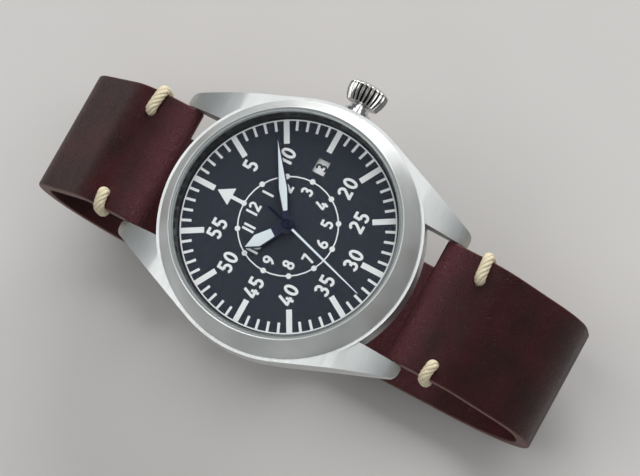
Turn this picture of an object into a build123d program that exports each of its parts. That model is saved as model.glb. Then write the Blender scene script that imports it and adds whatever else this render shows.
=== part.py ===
"""Pilot watch: a steel case with a smooth sloped bezel, a laced leather strap buckled into
a closed loop, and a self-winding movement with centre seconds and date.

The origin is at the centre of the case back's outer face, +Z points out of the dial,
+Y to 12 o'clock and +X to the crown.  All lengths are in millimetres.
"""
import os
from math import acos, atan2, cos, degrees, hypot, radians, sin

from build123d import *

# Running clearance between parts that move on each other, and one overrun for every cut
CLEARANCE = 0.03
OVERRUN = 0.5

# Heights of the stack, from the case back to the crystal
BACK_PLATE = 1.2
ROTOR_GAP = 0.2
ROTOR_RIM_HEIGHT = 0.85
ROTOR_WEB = 0.3
UNDER_BRIDGE = 0.2
BRIDGE_THICKNESS = 0.55
TRAIN_SPACE = 2.3
PLATE_THICKNESS = 1.0
DATE_SPACE = 0.5
DIAL_THICKNESS = 0.4
HAND_SPACE = 1.9
CRYSTAL_THICKNESS = 1.1
ROTOR_LOW = BACK_PLATE + ROTOR_GAP
ROTOR_HIGH = ROTOR_LOW + ROTOR_RIM_HEIGHT
BRIDGE_LOW = ROTOR_HIGH + UNDER_BRIDGE
BRIDGE_HIGH = BRIDGE_LOW + BRIDGE_THICKNESS
PLATE_LOW = BRIDGE_HIGH + TRAIN_SPACE
PLATE_HIGH = PLATE_LOW + PLATE_THICKNESS
DIAL_LOW = PLATE_HIGH + DATE_SPACE
DIAL_HIGH = DIAL_LOW + DIAL_THICKNESS
CRYSTAL_LOW = DIAL_HIGH + HAND_SPACE
CRYSTAL_HIGH = CRYSTAL_LOW + CRYSTAL_THICKNESS

# Case: bezel, band and lugs, set round the movement
MOVEMENT_RADIUS = 13.0
CASE_SURROUND = 7.0
BEZEL_STEP = 0.5
BAND_BASE = 0.95
BAND_CHAMFER = 0.5
SEAM = 5.5
SEAT_INSET = 3.0
SEAT_STEP = 0.6
COLLAR_WALL = 0.6
LEDGE_THICKNESS = 0.5
LEDGE_STEP = 0.15
BEZEL_WIDTH = 3.0
CRYSTAL_CHAMFER = 0.25
SEAL_WALL = 0.3
BEZEL_TOP = 9.9
BEZEL_LIP = 0.2
BEZEL_LIP_DROP = 0.12
BEZEL_EDGE = 0.35
RING_SLOPE = 0.5
RING_WALL = 0.12
CASE_RADIUS = MOVEMENT_RADIUS + CASE_SURROUND
BEZEL_RADIUS = CASE_RADIUS - BEZEL_STEP
DIAL_SEAT_RADIUS = CASE_RADIUS - SEAT_INSET
CASE_BORE = DIAL_SEAT_RADIUS - SEAT_STEP
CRYSTAL_RADIUS = CASE_RADIUS - BEZEL_WIDTH
LEDGE_RADIUS = CRYSTAL_RADIUS - LEDGE_STEP
RING_FOOT_RADIUS = LEDGE_RADIUS - RING_SLOPE
COLLAR_RADIUS = DIAL_SEAT_RADIUS + COLLAR_WALL
LEDGE_LOW = CRYSTAL_LOW - LEDGE_THICKNESS
BEZEL_BORE = CRYSTAL_RADIUS + SEAL_WALL

# Lugs, seen from above and from the side
LUG_GAP = 20.0
LUG_REACH = 4.0
LUG_TIP_WIDTH = 1.95
LUG_TIP_ROUND = 1.4
LUG_NOSE = 1.0
LUG_ROOT = 8.0
LUG_SINK = 1.0
SHOULDER_INSET = 4.8
LUG_ARCH_HEIGHT = 4.4
LUG_TIP_HIGH = 2.5
LUG_TIP_NOSE = 1.5
LUG_TIP_LOW = 0.3
LUG_EDGE = 0.3
LUG_TO_LUG = 2 * (CASE_RADIUS + LUG_REACH)
LUG_SHOULDER = CASE_RADIUS - SHOULDER_INSET

# Case back
FLANGE_INSET = 2.4
FLANGE_LOW = 0.55
FLANGE_HIGH = 1.3
BACK_SLOPE = 2.4
THREAD_STEP = 0.5
THREAD_HIGH = 2.3
THREAD_WALL = 1.0
NOTCH_COUNT = 6
NOTCH_WIDTH = 2.2
NOTCH_DEPTH = 0.4
NOTCH_LENGTH = 1.5
NOTCH_INSET = 0.2
GROOVE_STEP = 0.15
GROOVE_WIDTH = 0.4
GROOVE_DEPTH = 0.3
FLANGE_RADIUS = CASE_RADIUS - FLANGE_INSET
BACK_FLAT_RADIUS = FLANGE_RADIUS - BACK_SLOPE
THREAD_RADIUS = CASE_BORE + THREAD_STEP
GROOVE_INNER = THREAD_RADIUS + GROOVE_STEP
GROOVE_OUTER = GROOVE_INNER + GROOVE_WIDTH

# Crown, its tube and the winding stem, on an axis along X
STEM_HEIGHT = 3.7
TUBE_RADIUS = 1.55
TUBE_BORE = 1.15
TUBE_SINK = 3.0
TUBE_STAND = 1.1
TUBE_COLLAR_RADIUS = 2.05
TUBE_COLLAR_STAND = 0.45
CROWN_STAND = 1.55
CROWN_BACK_RADIUS = 2.1
CROWN_SWELL = 2.05
CROWN_RADIUS = 3.15
CROWN_RIM = 0.5
CROWN_FACE_RADIUS = 2.35
CROWN_SLOPE = 0.55
CROWN_DOME = 0.25
NECK_RADIUS = 1.1
NECK_LENGTH = 2.45
SEAL_GROOVE_RADIUS = 0.8
SEAL_GROOVE_STEP = 0.6
SEAL_GROOVE_WIDTH = 0.5
FLUTE_COUNT = 18
FLUTE_RADIUS = 0.34
FLUTE_DEPTH = 0.22
STEM_RADIUS = 0.55
STEM_START = 3.4
PILOT_RADIUS = 0.27
PILOT_BOSS_START = 5.0
PILOT_END = 5.9
STEM_SQUARE = 0.6
SQUARE_END = 10.0
LEVER_GROOVE_START = 10.2
LEVER_GROOVE_WIDTH = 0.55
LEVER_GROOVE_RADIUS = 0.28
PULL_TRAVEL = 1.6
SLIDING_TRAVEL = 0.9
TUBE_START = CASE_RADIUS - TUBE_SINK
TUBE_END = CASE_RADIUS + TUBE_STAND
TUBE_COLLAR_END = CASE_RADIUS + TUBE_COLLAR_STAND
CROWN_BACK = CASE_RADIUS + CROWN_STAND
CROWN_WIDEST = CROWN_BACK + CROWN_SWELL
CROWN_RIM_END = CROWN_WIDEST + CROWN_RIM
CROWN_FACE = CROWN_RIM_END + CROWN_SLOPE
NECK_START = CROWN_BACK - NECK_LENGTH
SEAL_GROOVE_START = NECK_START + SEAL_GROOVE_STEP

# Winding work on the stem
WINDING_PINION_START = 8.85
WINDING_PINION_LENGTH = 1.0
WINDING_PINION_RADIUS = 0.92
SLIDING_PINION_START = 7.0
SLIDING_PINION_RADIUS = 0.66
SLIDING_GROOVE_START = 8.0
SLIDING_GROOVE_WIDTH = 0.4
SLIDING_GROOVE_RADIUS = 0.52
PINION_GAP = 0.05
PINION_TEETH = 10
PINION_TOOTH_DEPTH = 0.16
LEVER_REACH = 2.7
LEVER_LOW = 3.55
LEVER_HIGH = 3.85
LEVER_HUB = 0.7
LEVER_NOSE = 0.17
LEVER_NOSE_DEPTH = 0.42
LEVER_PIVOT = 0.3
YOKE_REACH = 2.9
YOKE_NOSE = 0.12
YOKE_NOSE_DEPTH = 0.6

# Going train: tooth counts, modules and directions from the centre
BARREL_TEETH = 84
CENTRE_LEAVES = 12
BARREL_MODULE = 0.13
BARREL_ANGLE = 75
CENTRE_TEETH = 80
THIRD_LEAVES = 10
CENTRE_MODULE = 0.1
THIRD_ANGLE = 250
THIRD_TEETH = 75
FOURTH_LEAVES = 10
FOURTH_TEETH = 72
ESCAPE_LEAVES = 8
FOURTH_MODULE = 0.1125
ESCAPE_ANGLE = 175
ESCAPE_TEETH = 20
ESCAPE_RADIUS = 1.9
ESCAPE_TOOTH_DEPTH = 0.45
BARREL_DISTANCE = (BARREL_TEETH + CENTRE_LEAVES) * BARREL_MODULE / 2
THIRD_DISTANCE = (CENTRE_TEETH + THIRD_LEAVES) * CENTRE_MODULE / 2
THIRD_MODULE = 2 * THIRD_DISTANCE / (THIRD_TEETH + FOURTH_LEAVES)
ESCAPE_DISTANCE = (FOURTH_TEETH + ESCAPE_LEAVES) * FOURTH_MODULE / 2

# Tooth and crossing shapes, as shares of the module, of the tooth pitch and of the wheel's radius
ADDENDUM_SHARE = 0.75
DEDENDUM_SHARE = 1.15
ROOT_SHARE = 0.2
TIP_SHARE = 0.09
WINDOW_COUNT = 5
WINDOW_PLACE_SHARE = 0.52
WINDOW_SIZE_SHARE = 0.26

# Heights of the wheels above the case back
WHEEL_THICKNESS = 0.12
FOURTH_WHEEL_LOW = 3.1
BARREL_LOW = 3.35
THIRD_WHEEL_LOW = 3.5
FOURTH_PINION_LOW = 3.3
FOURTH_PINION_HIGH = 3.85
ESCAPE_PINION_LOW = 3.04
ESCAPE_PINION_HIGH = 3.42
ESCAPE_WHEEL_LOW = 3.9
CENTRE_PINION_LOW = 4.05
BARREL_TOOTH_LOW = 4.3
BARREL_TOOTH_HIGH = 4.5
BARREL_HIGH = 4.75
CENTRE_WHEEL_LOW = 4.85
THIRD_PINION_LOW = 4.65
THIRD_PINION_HIGH = 5.2
CENTRE_PINION_HIGH = 4.8

# Barrel, its arbor, its spring and the winding wheels on the barrel bridge
BARREL_WALL = 0.3
BARREL_LID = 0.2
BARREL_RIM_STEP = 0.35
ARBOR_RADIUS = 0.9
ARBOR_PIVOT = 0.5
MAINSPRING_TURNS = 9
MAINSPRING_STRIP = 0.14
MAINSPRING_GAP = 0.12
MAINSPRING_STEPS = 24
CROWN_WHEEL_TEETH = 26
RATCHET_TEETH = 50
WINDING_WHEEL_HEIGHT = 0.25
RECESS_FLOOR = 0.05
WHEEL_POST = 0.3
CLICK_ANGLE = 140
CLICK_REACH = 1.6
CLICK_HUB = 0.5
CLICK_NOSE = 0.2

# Escapement and balance
PALLET_DISTANCE = 2.5
PALLET_ANGLE = 195
FORK_LENGTH = 3.15
FORK_WIDTH = 0.26
FORK_HORN = 0.42
PALLET_ARM = 1.2
PALLET_STONE = 0.55
PALLET_HEIGHT = 0.14
BALANCE_DISTANCE = 7.9
BALANCE_ANGLE = 215
BALANCE_RADIUS = 3.85
BALANCE_RIM = 0.4
BALANCE_LOW = 4.2
BALANCE_HEIGHT = 0.45
BALANCE_ARM_WIDTH = 0.35
BALANCE_ARM_HEIGHT = 0.16
ROLLER_RADIUS = 0.75
ROLLER_LOW = 4.06
HAIRSPRING_LOW = 3.15
HAIRSPRING_HEIGHT = 0.16
HAIRSPRING_TURNS = 7
HAIRSPRING_STRIP = 0.06
HAIRSPRING_GAP = 0.16
COLLET_RADIUS = 0.42
STUD_RADIUS = 0.16

# Arbors, pivots and jewels
STAFF_RADIUS = 0.17
PIVOT_RADIUS = 0.1
PIVOT_LENGTH = 0.35
JEWEL_RADIUS = 0.5
JEWEL_THICKNESS = 0.4
CENTRE_TUBE_RADIUS = 0.28
CENTRE_TUBE_BORE = 0.155
SECONDS_ARBOR = 0.125

# Motion work under the dial
CANNON_LEAVES = 12
MINUTE_WHEEL_TEETH = 36
CANNON_MODULE = 0.125
MINUTE_LEAVES = 10
HOUR_WHEEL_TEETH = 40
MOTION_ANGLE = 300
MOTION_DISTANCE = (CANNON_LEAVES + MINUTE_WHEEL_TEETH) * CANNON_MODULE / 2
HOUR_MODULE = 2 * MOTION_DISTANCE / (MINUTE_LEAVES + HOUR_WHEEL_TEETH)
MOTION_RECESS = 0.55
MOTION_RECESS_RADIUS = 5.8
CANNON_BORE = 0.3
CANNON_RADIUS = 0.45
HOUR_PIPE_BORE = 0.48
HOUR_PIPE_RADIUS = 0.75
CANNON_LEAF_HEIGHT = 0.32
MOTION_WHEEL_HEIGHT = 0.12
MOTION_FLOOR_GAP = 0.05

# Date disc
DATE_INSET = 1.3
DATE_WIDTH = 3.0
DATE_THICKNESS = 0.15
DATE_GAP = 0.08
DATE_TEETH = 31
DATE_TOOTH_DEPTH = 0.55
DATE_WINDOW_INSET = 1.62
DATE_WINDOW_WIDTH = 2.3
DATE_WINDOW_HEIGHT = 2.0
DATE_OUTER = MOVEMENT_RADIUS - DATE_INSET
DATE_INNER = DATE_OUTER - DATE_WIDTH
DATE_WINDOW_X = DATE_OUTER - DATE_WINDOW_INSET

# Dial and hands: clock angles, and outlines as (half width, distance from the centre)
DIAL_GAP = 0.2
DIAL_RADIUS = DIAL_SEAT_RADIUS - DIAL_GAP
DIAL_HOLE = 0.95
DIAL_FOOT_RADIUS = 0.35
DIAL_FOOT_INSET = 0.7
DIAL_FOOT_PLACE = MOVEMENT_RADIUS - DIAL_FOOT_INSET
DIAL_FOOT_LENGTH = 1.2
DIAL_FOOT_ANGLES = (62, 242)
HOUR_ANGLE = 304.5
MINUTE_ANGLE = 54.8
SECONDS_ANGLE = 196.5
HAND_THICKNESS = 0.15
HOUR_RISE = 0.7
MINUTE_RISE = 1.08
SECONDS_RISE = 1.42
HOUR_HUB = 1.35
MINUTE_HUB = 1.1
SECONDS_HUB = 0.75
HOUR_OUTLINE = [(0.62, 1.0), (0.86, 2.2), (1.16, 5.0), (0.0, 7.45)]
HOUR_WINDOW = [(0.66, 2.4), (0.94, 4.98), (0.0, 6.98)]
MINUTE_OUTLINE = [(0.42, 0.8), (0.5, 1.8), (0.8, 5.4), (0.0, 14.3)]
MINUTE_WINDOW = [(0.32, 2.1), (0.59, 5.4), (0.0, 12.9)]
SECONDS_OUTLINE = [(0.17, 0.6), (0.15, 8.0), (0.06, 14.9)]
SECONDS_TAIL = [(0.14, 0.6), (0.2, 3.9)]
HAND_POST = 0.25

# Rotor, its bearing and the reversing wheel
ROTOR_INSET = 0.4
ROTOR_RADIUS = MOVEMENT_RADIUS - ROTOR_INSET
ROTOR_RIM_WIDTH = 2.6
ROTOR_WEB_WINDOW = 3.2
ROTOR_WEB_PLACE = 6.2
ROTOR_HUB_RADIUS = 2.3
ROTOR_HUB_BORE = 1.42
BEARING_RADIUS = 1.0
BEARING_GROOVE = 0.12
BALL_RADIUS = 0.2
BALL_COUNT = 7
ROTOR_GEAR_TEETH = 32
ROTOR_GEAR_MODULE = 0.125
ROTOR_GEAR_HEIGHT = 0.13
REVERSING_TEETH = 32
REVERSING_ANGLE = 300
REVERSING_POST = 0.3
REVERSING_DISTANCE = (ROTOR_GEAR_TEETH + REVERSING_TEETH) * ROTOR_GEAR_MODULE / 2

# Bridges, holder, clamps and screws
BRIDGE_SPLIT = 0.9
BRIDGE_SPLIT_GAP = 0.1
RIM_WALL = 1.0
BARREL_RIM_ARC = (14, 138)
TRAIN_RIM_ARCS = ((150, 200), (231, 330))
COCK_RIM_ARC = (205, 225)
COCK_WIDTH = 3.6
COCK_HEAD_RADIUS = 1.9
COCK_GAP = 0.15
BALANCE_OPENING = 3.4
STEM_BOSS_LENGTH = 0.65
STEM_BOSS_START = MOVEMENT_RADIUS - STEM_BOSS_LENGTH
STEM_BOSS_WIDTH = 2.4
PILOT_BOSS_WIDTH = 1.5
HOLDER_GAP = 1.0
HOLDER_FOOT_RADIUS = THREAD_RADIUS - THREAD_WALL - HOLDER_GAP
CLAMP_ANGLES = (100, 280)
CLAMP_WIDTH = 2.4
CLAMP_THICKNESS = 0.3
CLAMP_REACH = 0.95
CLAMP_GAP = 0.2
CLAMP_INNER = MOVEMENT_RADIUS - CLAMP_REACH
CLAMP_OUTER = HOLDER_FOOT_RADIUS - CLAMP_GAP
SCREW_INSET = 0.5
SCREW_CIRCLE = MOVEMENT_RADIUS - SCREW_INSET
SCREW_RADIUS = 0.28
SCREW_HEAD_RADIUS = 0.48
SCREW_HEAD = 0.22
SCREW_SLOT = 0.14
SCREW_SLOT_DEPTH = 0.1
SCREW_LENGTH = 2.9
BRIDGE_SCREW_ANGLES = (30, 78, 128, 158, 190, 215, 245, 318)

# Strap: leather folded over the spring bars and laced, then buckled into a loop
STRAP_GAP = 0.3
STRAP_WIDTH = LUG_GAP - STRAP_GAP
LEATHER = 2.2
FLAP = 1.1
FLAP_LENGTH = 8.3
BAR_INSET = 1.3
BAR_HEIGHT = 1.5
BAR_RADIUS = 0.75
BAR_BORE = 0.55
BAR_END_GAP = 0.8
TIP_RADIUS = 0.42
TIP_PISTON = 0.5
TIP_PISTON_LENGTH = 1.6
TIP_PISTON_PLACE = 7.55
TIP_HOLE_DEPTH = 1.2
TIP_END_GAP = 0.15
TIP_TRAVEL = 1.1
FOLD_RADIUS = (LEATHER + FLAP) / 2
SIX_RUN = 4.8
SIX_BEND = 7.9
SIX_SLOPE = 42
SIX_SLANT = 8.0
SIX_SIDE_BEND = 11.1
SIX_BOTTOM_BEND = 14.9
TWELVE_RUN = 3.8
TWELVE_BEND = 7.9
TWELVE_SLOPE = 50
TWELVE_SLANT = 11.3
TWELVE_SIDE_BEND = 11.0
TWELVE_BOTTOM_BEND = 13.5
TAIL_TURN = 30
TAIL_TIP = 9.0
LACE_STEP = 5.5
LACE_HOLE_LEFT = 7.5
LACE_HOLE_RIGHT = 6.3
LACE_HOLE_RADIUS = 0.9
LACE_WIDTH = 1.3
LACE_THICKNESS = 0.75
LACE_GAP = 0.03
BAR_PLACE = LUG_TO_LUG / 2 - BAR_INSET
LACE_PLACE = BAR_PLACE + LACE_STEP

# Buckle and keepers
SHORT_LENGTH = 75.0
BUCKLE_BAR_RADIUS = 0.75
BUCKLE_GAP = 0.5
BUCKLE_INNER = STRAP_WIDTH + BUCKLE_GAP
BUCKLE_ARM = 1.6
BUCKLE_REACH = 11.5
BUCKLE_BAR_EYE = 1.6
CROSSBAR_THICKNESS = 1.8
CROSSBAR_WIDTH = 2.6
CROSSBAR_GAP = 0.2
CROSSBAR_NOTCH = 0.5
TONGUE_WIDTH = 1.9
TONGUE_THICKNESS = 0.9
TONGUE_EYE = 1.35
TONGUE_OVERHANG = 1.6
TONGUE_ELBOW = 3.4
TONGUE_SLOT_WIDTH = 2.5
SLOT_MARGIN = 0.3
HOLE_WIDTH = 2.6
HOLE_LENGTH = 4.3
HOLE_PITCH = 7.0
HOLES_EACH_WAY = 3
BUCKLE_FLAP = 12.0
KEEPER_THICKNESS = 1.1
KEEPER_WIDTH = 6.0
FIXED_KEEPER_START = 4.5
FREE_KEEPER_START = 15.4
KEEPER_GAP = 0.05
FREE_KEEPER_GAP = 0.3


def at(distance, angle):
    """A point at a distance and direction from the centre of the movement."""
    return distance * cos(radians(angle)), distance * sin(radians(angle))


BARREL_X, BARREL_Y = at(BARREL_DISTANCE, BARREL_ANGLE)
THIRD_X, THIRD_Y = at(THIRD_DISTANCE, THIRD_ANGLE)
ESCAPE_X, ESCAPE_Y = at(ESCAPE_DISTANCE, ESCAPE_ANGLE)
PALLET_STEP_X, PALLET_STEP_Y = at(PALLET_DISTANCE, PALLET_ANGLE)
PALLET_X, PALLET_Y = ESCAPE_X + PALLET_STEP_X, ESCAPE_Y + PALLET_STEP_Y
BALANCE_X, BALANCE_Y = at(BALANCE_DISTANCE, BALANCE_ANGLE)
MINUTE_X, MINUTE_Y = at(MOTION_DISTANCE, MOTION_ANGLE)
REVERSING_X, REVERSING_Y = at(REVERSING_DISTANCE, REVERSING_ANGLE)

# The crown wheel's centre is on the stem's line. Its module lets it reach both the winding pinion
# and the ratchet wheel: (away - crown * m)^2 + BARREL_Y^2 = (both * m)^2, with half the tooth counts
WINDING_CONTACT = WINDING_PINION_START + WINDING_PINION_LENGTH / 2
AWAY = WINDING_CONTACT - BARREL_X
CROWN_HALF = CROWN_WHEEL_TEETH / 2
BOTH_HALF = (CROWN_WHEEL_TEETH + RATCHET_TEETH) / 2
SQUARES = BOTH_HALF ** 2 - CROWN_HALF ** 2
WINDING_MODULE = (hypot(CROWN_HALF * AWAY, (SQUARES * (AWAY ** 2 + BARREL_Y ** 2)) ** 0.5) - CROWN_HALF * AWAY) / SQUARES
CROWN_WHEEL_X = WINDING_CONTACT - CROWN_HALF * WINDING_MODULE


# Basic solids

def cylinder(radius, low, high, x=0, y=0):
    return Pos(x, y, low) * extrude(Circle(radius), high - low)


def tube(outer, inner, low, high, x=0, y=0):
    return Pos(x, y, low) * extrude(Circle(outer) - Circle(inner), high - low)


def block(start, end):
    """A box between two corners."""
    sizes = [far - near for near, far in zip(start, end)]
    centre = [(far + near) / 2 for near, far in zip(start, end)]
    return Pos(*centre) * Box(*sizes)


def turned(points):
    """A solid of revolution about Z from (radius, height) points."""
    return revolve(Plane.XZ * make_face(Polyline(*points, close=True)), Axis.Z)


def on_stem(solid):
    """Lays a solid made along Z onto the crown's axis, its height becoming the distance along X."""
    return Pos(0, 0, STEM_HEIGHT) * Rot(0, 90, 0) * solid


def sector(outer, inner, first, last, low, high):
    """A piece of a ring between two directions in degrees."""
    edges = [
        Line(at(inner, first), at(outer, first)),
        ThreePointArc(at(outer, first), at(outer, (first + last) / 2), at(outer, last)),
        Line(at(outer, last), at(inner, last)),
        ThreePointArc(at(inner, last), at(inner, (first + last) / 2), at(inner, first)),
    ]
    return Pos(0, 0, low) * extrude(make_face(edges), high - low)


def plate(outline, low, high):
    """A flat piece with a straight-sided outline."""
    return Pos(0, 0, low) * extrude(make_face(Polyline(*outline, close=True)), high - low)


def group(solids):
    return Compound(children=list(solids))


# Wheels and arbors

def toothed(teeth, module, low, high, phase=0):
    """A gear with thin straight-flanked teeth, one of them in the direction of phase."""
    pitch = 360 / teeth
    tip = module * teeth / 2 + ADDENDUM_SHARE * module
    root = module * teeth / 2 - DEDENDUM_SHARE * module
    points = []
    for tooth in range(teeth):
        middle = phase + tooth * pitch
        points.append(at(root, middle - ROOT_SHARE * pitch))
        points.append(at(tip, middle - TIP_SHARE * pitch))
        points.append(at(tip, middle + TIP_SHARE * pitch))
        points.append(at(root, middle + ROOT_SHARE * pitch))
    return plate(points, low, high)


def wheel(teeth, module, low, high, phase=0):
    """A gear with round windows between its spokes."""
    radius = teeth * module / 2
    body = toothed(teeth, module, low, high, phase)
    window = cylinder(WINDOW_SIZE_SHARE * radius, low - OVERRUN, high + OVERRUN, WINDOW_PLACE_SHARE * radius)
    for turn in range(WINDOW_COUNT):
        body -= Rot(0, 0, 360 * turn / WINDOW_COUNT) * window
    return body


def staff(radius=STAFF_RADIUS, low=BRIDGE_HIGH, high=PLATE_LOW):
    """An arbor between a bridge and the main plate, with a pivot at each end."""
    body = cylinder(radius, low + CLEARANCE, high - CLEARANCE)
    return body + cylinder(PIVOT_RADIUS, low - PIVOT_LENGTH, high + PIVOT_LENGTH)


def jewel(x, y, low):
    return tube(JEWEL_RADIUS, PIVOT_RADIUS + CLEARANCE, low, low + JEWEL_THICKNESS, x, y)


def spiral(inner, turns, strip, gap, low, height):
    """A flat coil spring as one strip wound outwards."""
    steps = turns * MAINSPRING_STEPS
    rise = (strip + gap) / MAINSPRING_STEPS
    near, far = [], []
    for step in range(steps + 1):
        angle = 360 * step / MAINSPRING_STEPS
        near.append(at(inner + rise * step, angle))
        far.append(at(inner + rise * step + strip, angle))
    return plate(near + far[::-1], low, low + height)


# Case

def lug():
    tip = LUG_TO_LUG / 2
    inner = LUG_GAP / 2
    outer = inner + LUG_TIP_WIDTH
    shoulder = tip - LUG_NOSE
    tangent = degrees(atan2(tip, outer) - acos(CASE_RADIUS / hypot(outer, tip)))
    touch = at(CASE_RADIUS, tangent)
    corner = at(CASE_RADIUS - LUG_SINK, tangent)
    plan = [(inner, LUG_ROOT), (inner, tip - LUG_EDGE), (inner + LUG_EDGE, tip), (outer, tip), touch, corner]
    above = plate(plan, -OVERRUN, SEAM + OVERRUN)
    above = fillet(above.edges().filter_by(Axis.Z).sort_by_distance((outer, tip, 0))[0], LUG_TIP_ROUND)
    side = [
        Line((LUG_ROOT, BAND_BASE), (LUG_ROOT, SEAM)),
        Line((LUG_ROOT, SEAM), (LUG_SHOULDER, SEAM)),
        ThreePointArc((LUG_SHOULDER, SEAM), ((LUG_SHOULDER + shoulder) / 2, LUG_ARCH_HEIGHT), (shoulder, LUG_TIP_HIGH)),
        Line((shoulder, LUG_TIP_HIGH), (tip, LUG_TIP_NOSE)),
        Line((tip, LUG_TIP_NOSE), (shoulder, LUG_TIP_LOW)),
        Line((shoulder, LUG_TIP_LOW), (LUG_SHOULDER, BAND_BASE)),
        Line((LUG_SHOULDER, BAND_BASE), (LUG_ROOT, BAND_BASE)),
    ]
    profile = extrude(Plane.YZ * make_face(side), CASE_RADIUS)
    body = (above & profile) - cylinder(CASE_RADIUS - LUG_SINK, -OVERRUN, SEAM + OVERRUN)
    hole = Pos(inner - OVERRUN, BAR_PLACE, BAR_HEIGHT) * Rot(0, 90, 0) * extrude(
        Circle(TIP_RADIUS + CLEARANCE), OVERRUN + TIP_HOLE_DEPTH)
    return body - hole


def mid_case():
    wall = CASE_RADIUS
    body = turned([
        (CASE_BORE, THREAD_HIGH), (CASE_BORE, DIAL_LOW), (DIAL_SEAT_RADIUS, DIAL_LOW),
        (DIAL_SEAT_RADIUS, LEDGE_LOW), (COLLAR_RADIUS, LEDGE_LOW), (COLLAR_RADIUS, SEAM), (wall, SEAM),
        (wall, BAND_BASE + BAND_CHAMFER), (wall - BAND_CHAMFER, BAND_BASE), (FLANGE_RADIUS + CLEARANCE, BAND_BASE),
        (FLANGE_RADIUS + CLEARANCE, FLANGE_HIGH), (GROOVE_OUTER, FLANGE_HIGH),
        (GROOVE_OUTER, FLANGE_HIGH + GROOVE_DEPTH), (GROOVE_INNER, FLANGE_HIGH + GROOVE_DEPTH),
        (GROOVE_INNER, FLANGE_HIGH), (THREAD_RADIUS, FLANGE_HIGH), (THREAD_RADIUS, THREAD_HIGH),
    ])
    corner = lug()
    for piece in (corner, mirror(corner, Plane.YZ)):
        body = body + piece + mirror(piece, Plane.XZ)
    return body - on_stem(cylinder(TUBE_RADIUS, CASE_BORE - OVERRUN, CASE_RADIUS + OVERRUN))


def bezel():
    top = BEZEL_BORE + BEZEL_LIP
    return turned([
        (LEDGE_RADIUS, LEDGE_LOW), (LEDGE_RADIUS, CRYSTAL_LOW), (BEZEL_BORE, CRYSTAL_LOW),
        (BEZEL_BORE, BEZEL_TOP - BEZEL_LIP_DROP), (BEZEL_BORE + BEZEL_LIP_DROP, BEZEL_TOP), (top, BEZEL_TOP),
        (BEZEL_RADIUS, SEAM + BEZEL_EDGE), (BEZEL_RADIUS, SEAM), (COLLAR_RADIUS, SEAM), (COLLAR_RADIUS, LEDGE_LOW),
    ])


def crystal():
    edge = CRYSTAL_RADIUS
    return turned([
        (0, CRYSTAL_LOW), (edge, CRYSTAL_LOW), (edge, CRYSTAL_HIGH - CRYSTAL_CHAMFER),
        (edge - CRYSTAL_CHAMFER, CRYSTAL_HIGH), (0, CRYSTAL_HIGH),
    ])


def crystal_gasket():
    return tube(BEZEL_BORE, CRYSTAL_RADIUS, CRYSTAL_LOW, BEZEL_TOP - 2 * BEZEL_LIP_DROP)


def rehaut_ring():
    outer = LEDGE_RADIUS
    return turned([
        (RING_FOOT_RADIUS, DIAL_HIGH), (outer - CLEARANCE, DIAL_HIGH), (outer - CLEARANCE, CRYSTAL_LOW),
        (outer - RING_WALL, CRYSTAL_LOW),
    ])


def case_back():
    body = turned([
        (0, 0), (BACK_FLAT_RADIUS, 0), (FLANGE_RADIUS, FLANGE_LOW), (FLANGE_RADIUS, FLANGE_HIGH),
        (THREAD_RADIUS, FLANGE_HIGH), (THREAD_RADIUS, THREAD_HIGH), (THREAD_RADIUS - THREAD_WALL, THREAD_HIGH),
        (THREAD_RADIUS - THREAD_WALL, BACK_PLATE), (0, BACK_PLATE),
    ])
    half = NOTCH_WIDTH / 2
    start = BACK_FLAT_RADIUS + NOTCH_INSET
    notch = block((start, -half, -OVERRUN), (start + NOTCH_LENGTH, half, NOTCH_DEPTH + FLANGE_LOW))
    for turn in range(NOTCH_COUNT):
        body -= Rot(0, 0, 360 * (turn + 0.5) / NOTCH_COUNT) * notch
    return body


def case_back_gasket():
    return tube(GROOVE_OUTER, GROOVE_INNER, FLANGE_HIGH, FLANGE_HIGH + GROOVE_DEPTH)


def crown_tube():
    solid = tube(TUBE_RADIUS, TUBE_BORE, TUBE_START, TUBE_END)
    return on_stem(solid + tube(TUBE_COLLAR_RADIUS, TUBE_BORE, CASE_RADIUS, TUBE_COLLAR_END))


def crown():
    neck_end = SEAL_GROOVE_START + SEAL_GROOVE_WIDTH
    body = turned([
        (STEM_RADIUS, NECK_START), (NECK_RADIUS, NECK_START), (NECK_RADIUS, SEAL_GROOVE_START),
        (SEAL_GROOVE_RADIUS, SEAL_GROOVE_START), (SEAL_GROOVE_RADIUS, neck_end), (NECK_RADIUS, neck_end),
        (NECK_RADIUS, CROWN_BACK), (CROWN_BACK_RADIUS, CROWN_BACK), (CROWN_RADIUS, CROWN_WIDEST),
        (CROWN_RADIUS, CROWN_RIM_END), (CROWN_FACE_RADIUS, CROWN_FACE), (0, CROWN_FACE + CROWN_DOME),
        (0, CROWN_BACK), (STEM_RADIUS, CROWN_BACK),
    ])
    length = CROWN_WIDEST - CROWN_BACK
    tilt = degrees(atan2(CROWN_RADIUS - CROWN_BACK_RADIUS, length))
    flute = extrude(Circle(FLUTE_RADIUS), 2 * length)
    start = CROWN_BACK - OVERRUN
    offset = CROWN_BACK_RADIUS + FLUTE_RADIUS - FLUTE_DEPTH - OVERRUN * (CROWN_RADIUS - CROWN_BACK_RADIUS) / length
    for turn in range(FLUTE_COUNT):
        body -= Rot(0, 0, 360 * turn / FLUTE_COUNT) * Pos(offset, 0, start) * Rot(0, tilt, 0) * flute
    return on_stem(body)


def crown_gasket():
    return on_stem(tube(NECK_RADIUS, SEAL_GROOVE_RADIUS, SEAL_GROOVE_START, SEAL_GROOVE_START + SEAL_GROOVE_WIDTH))


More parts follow.
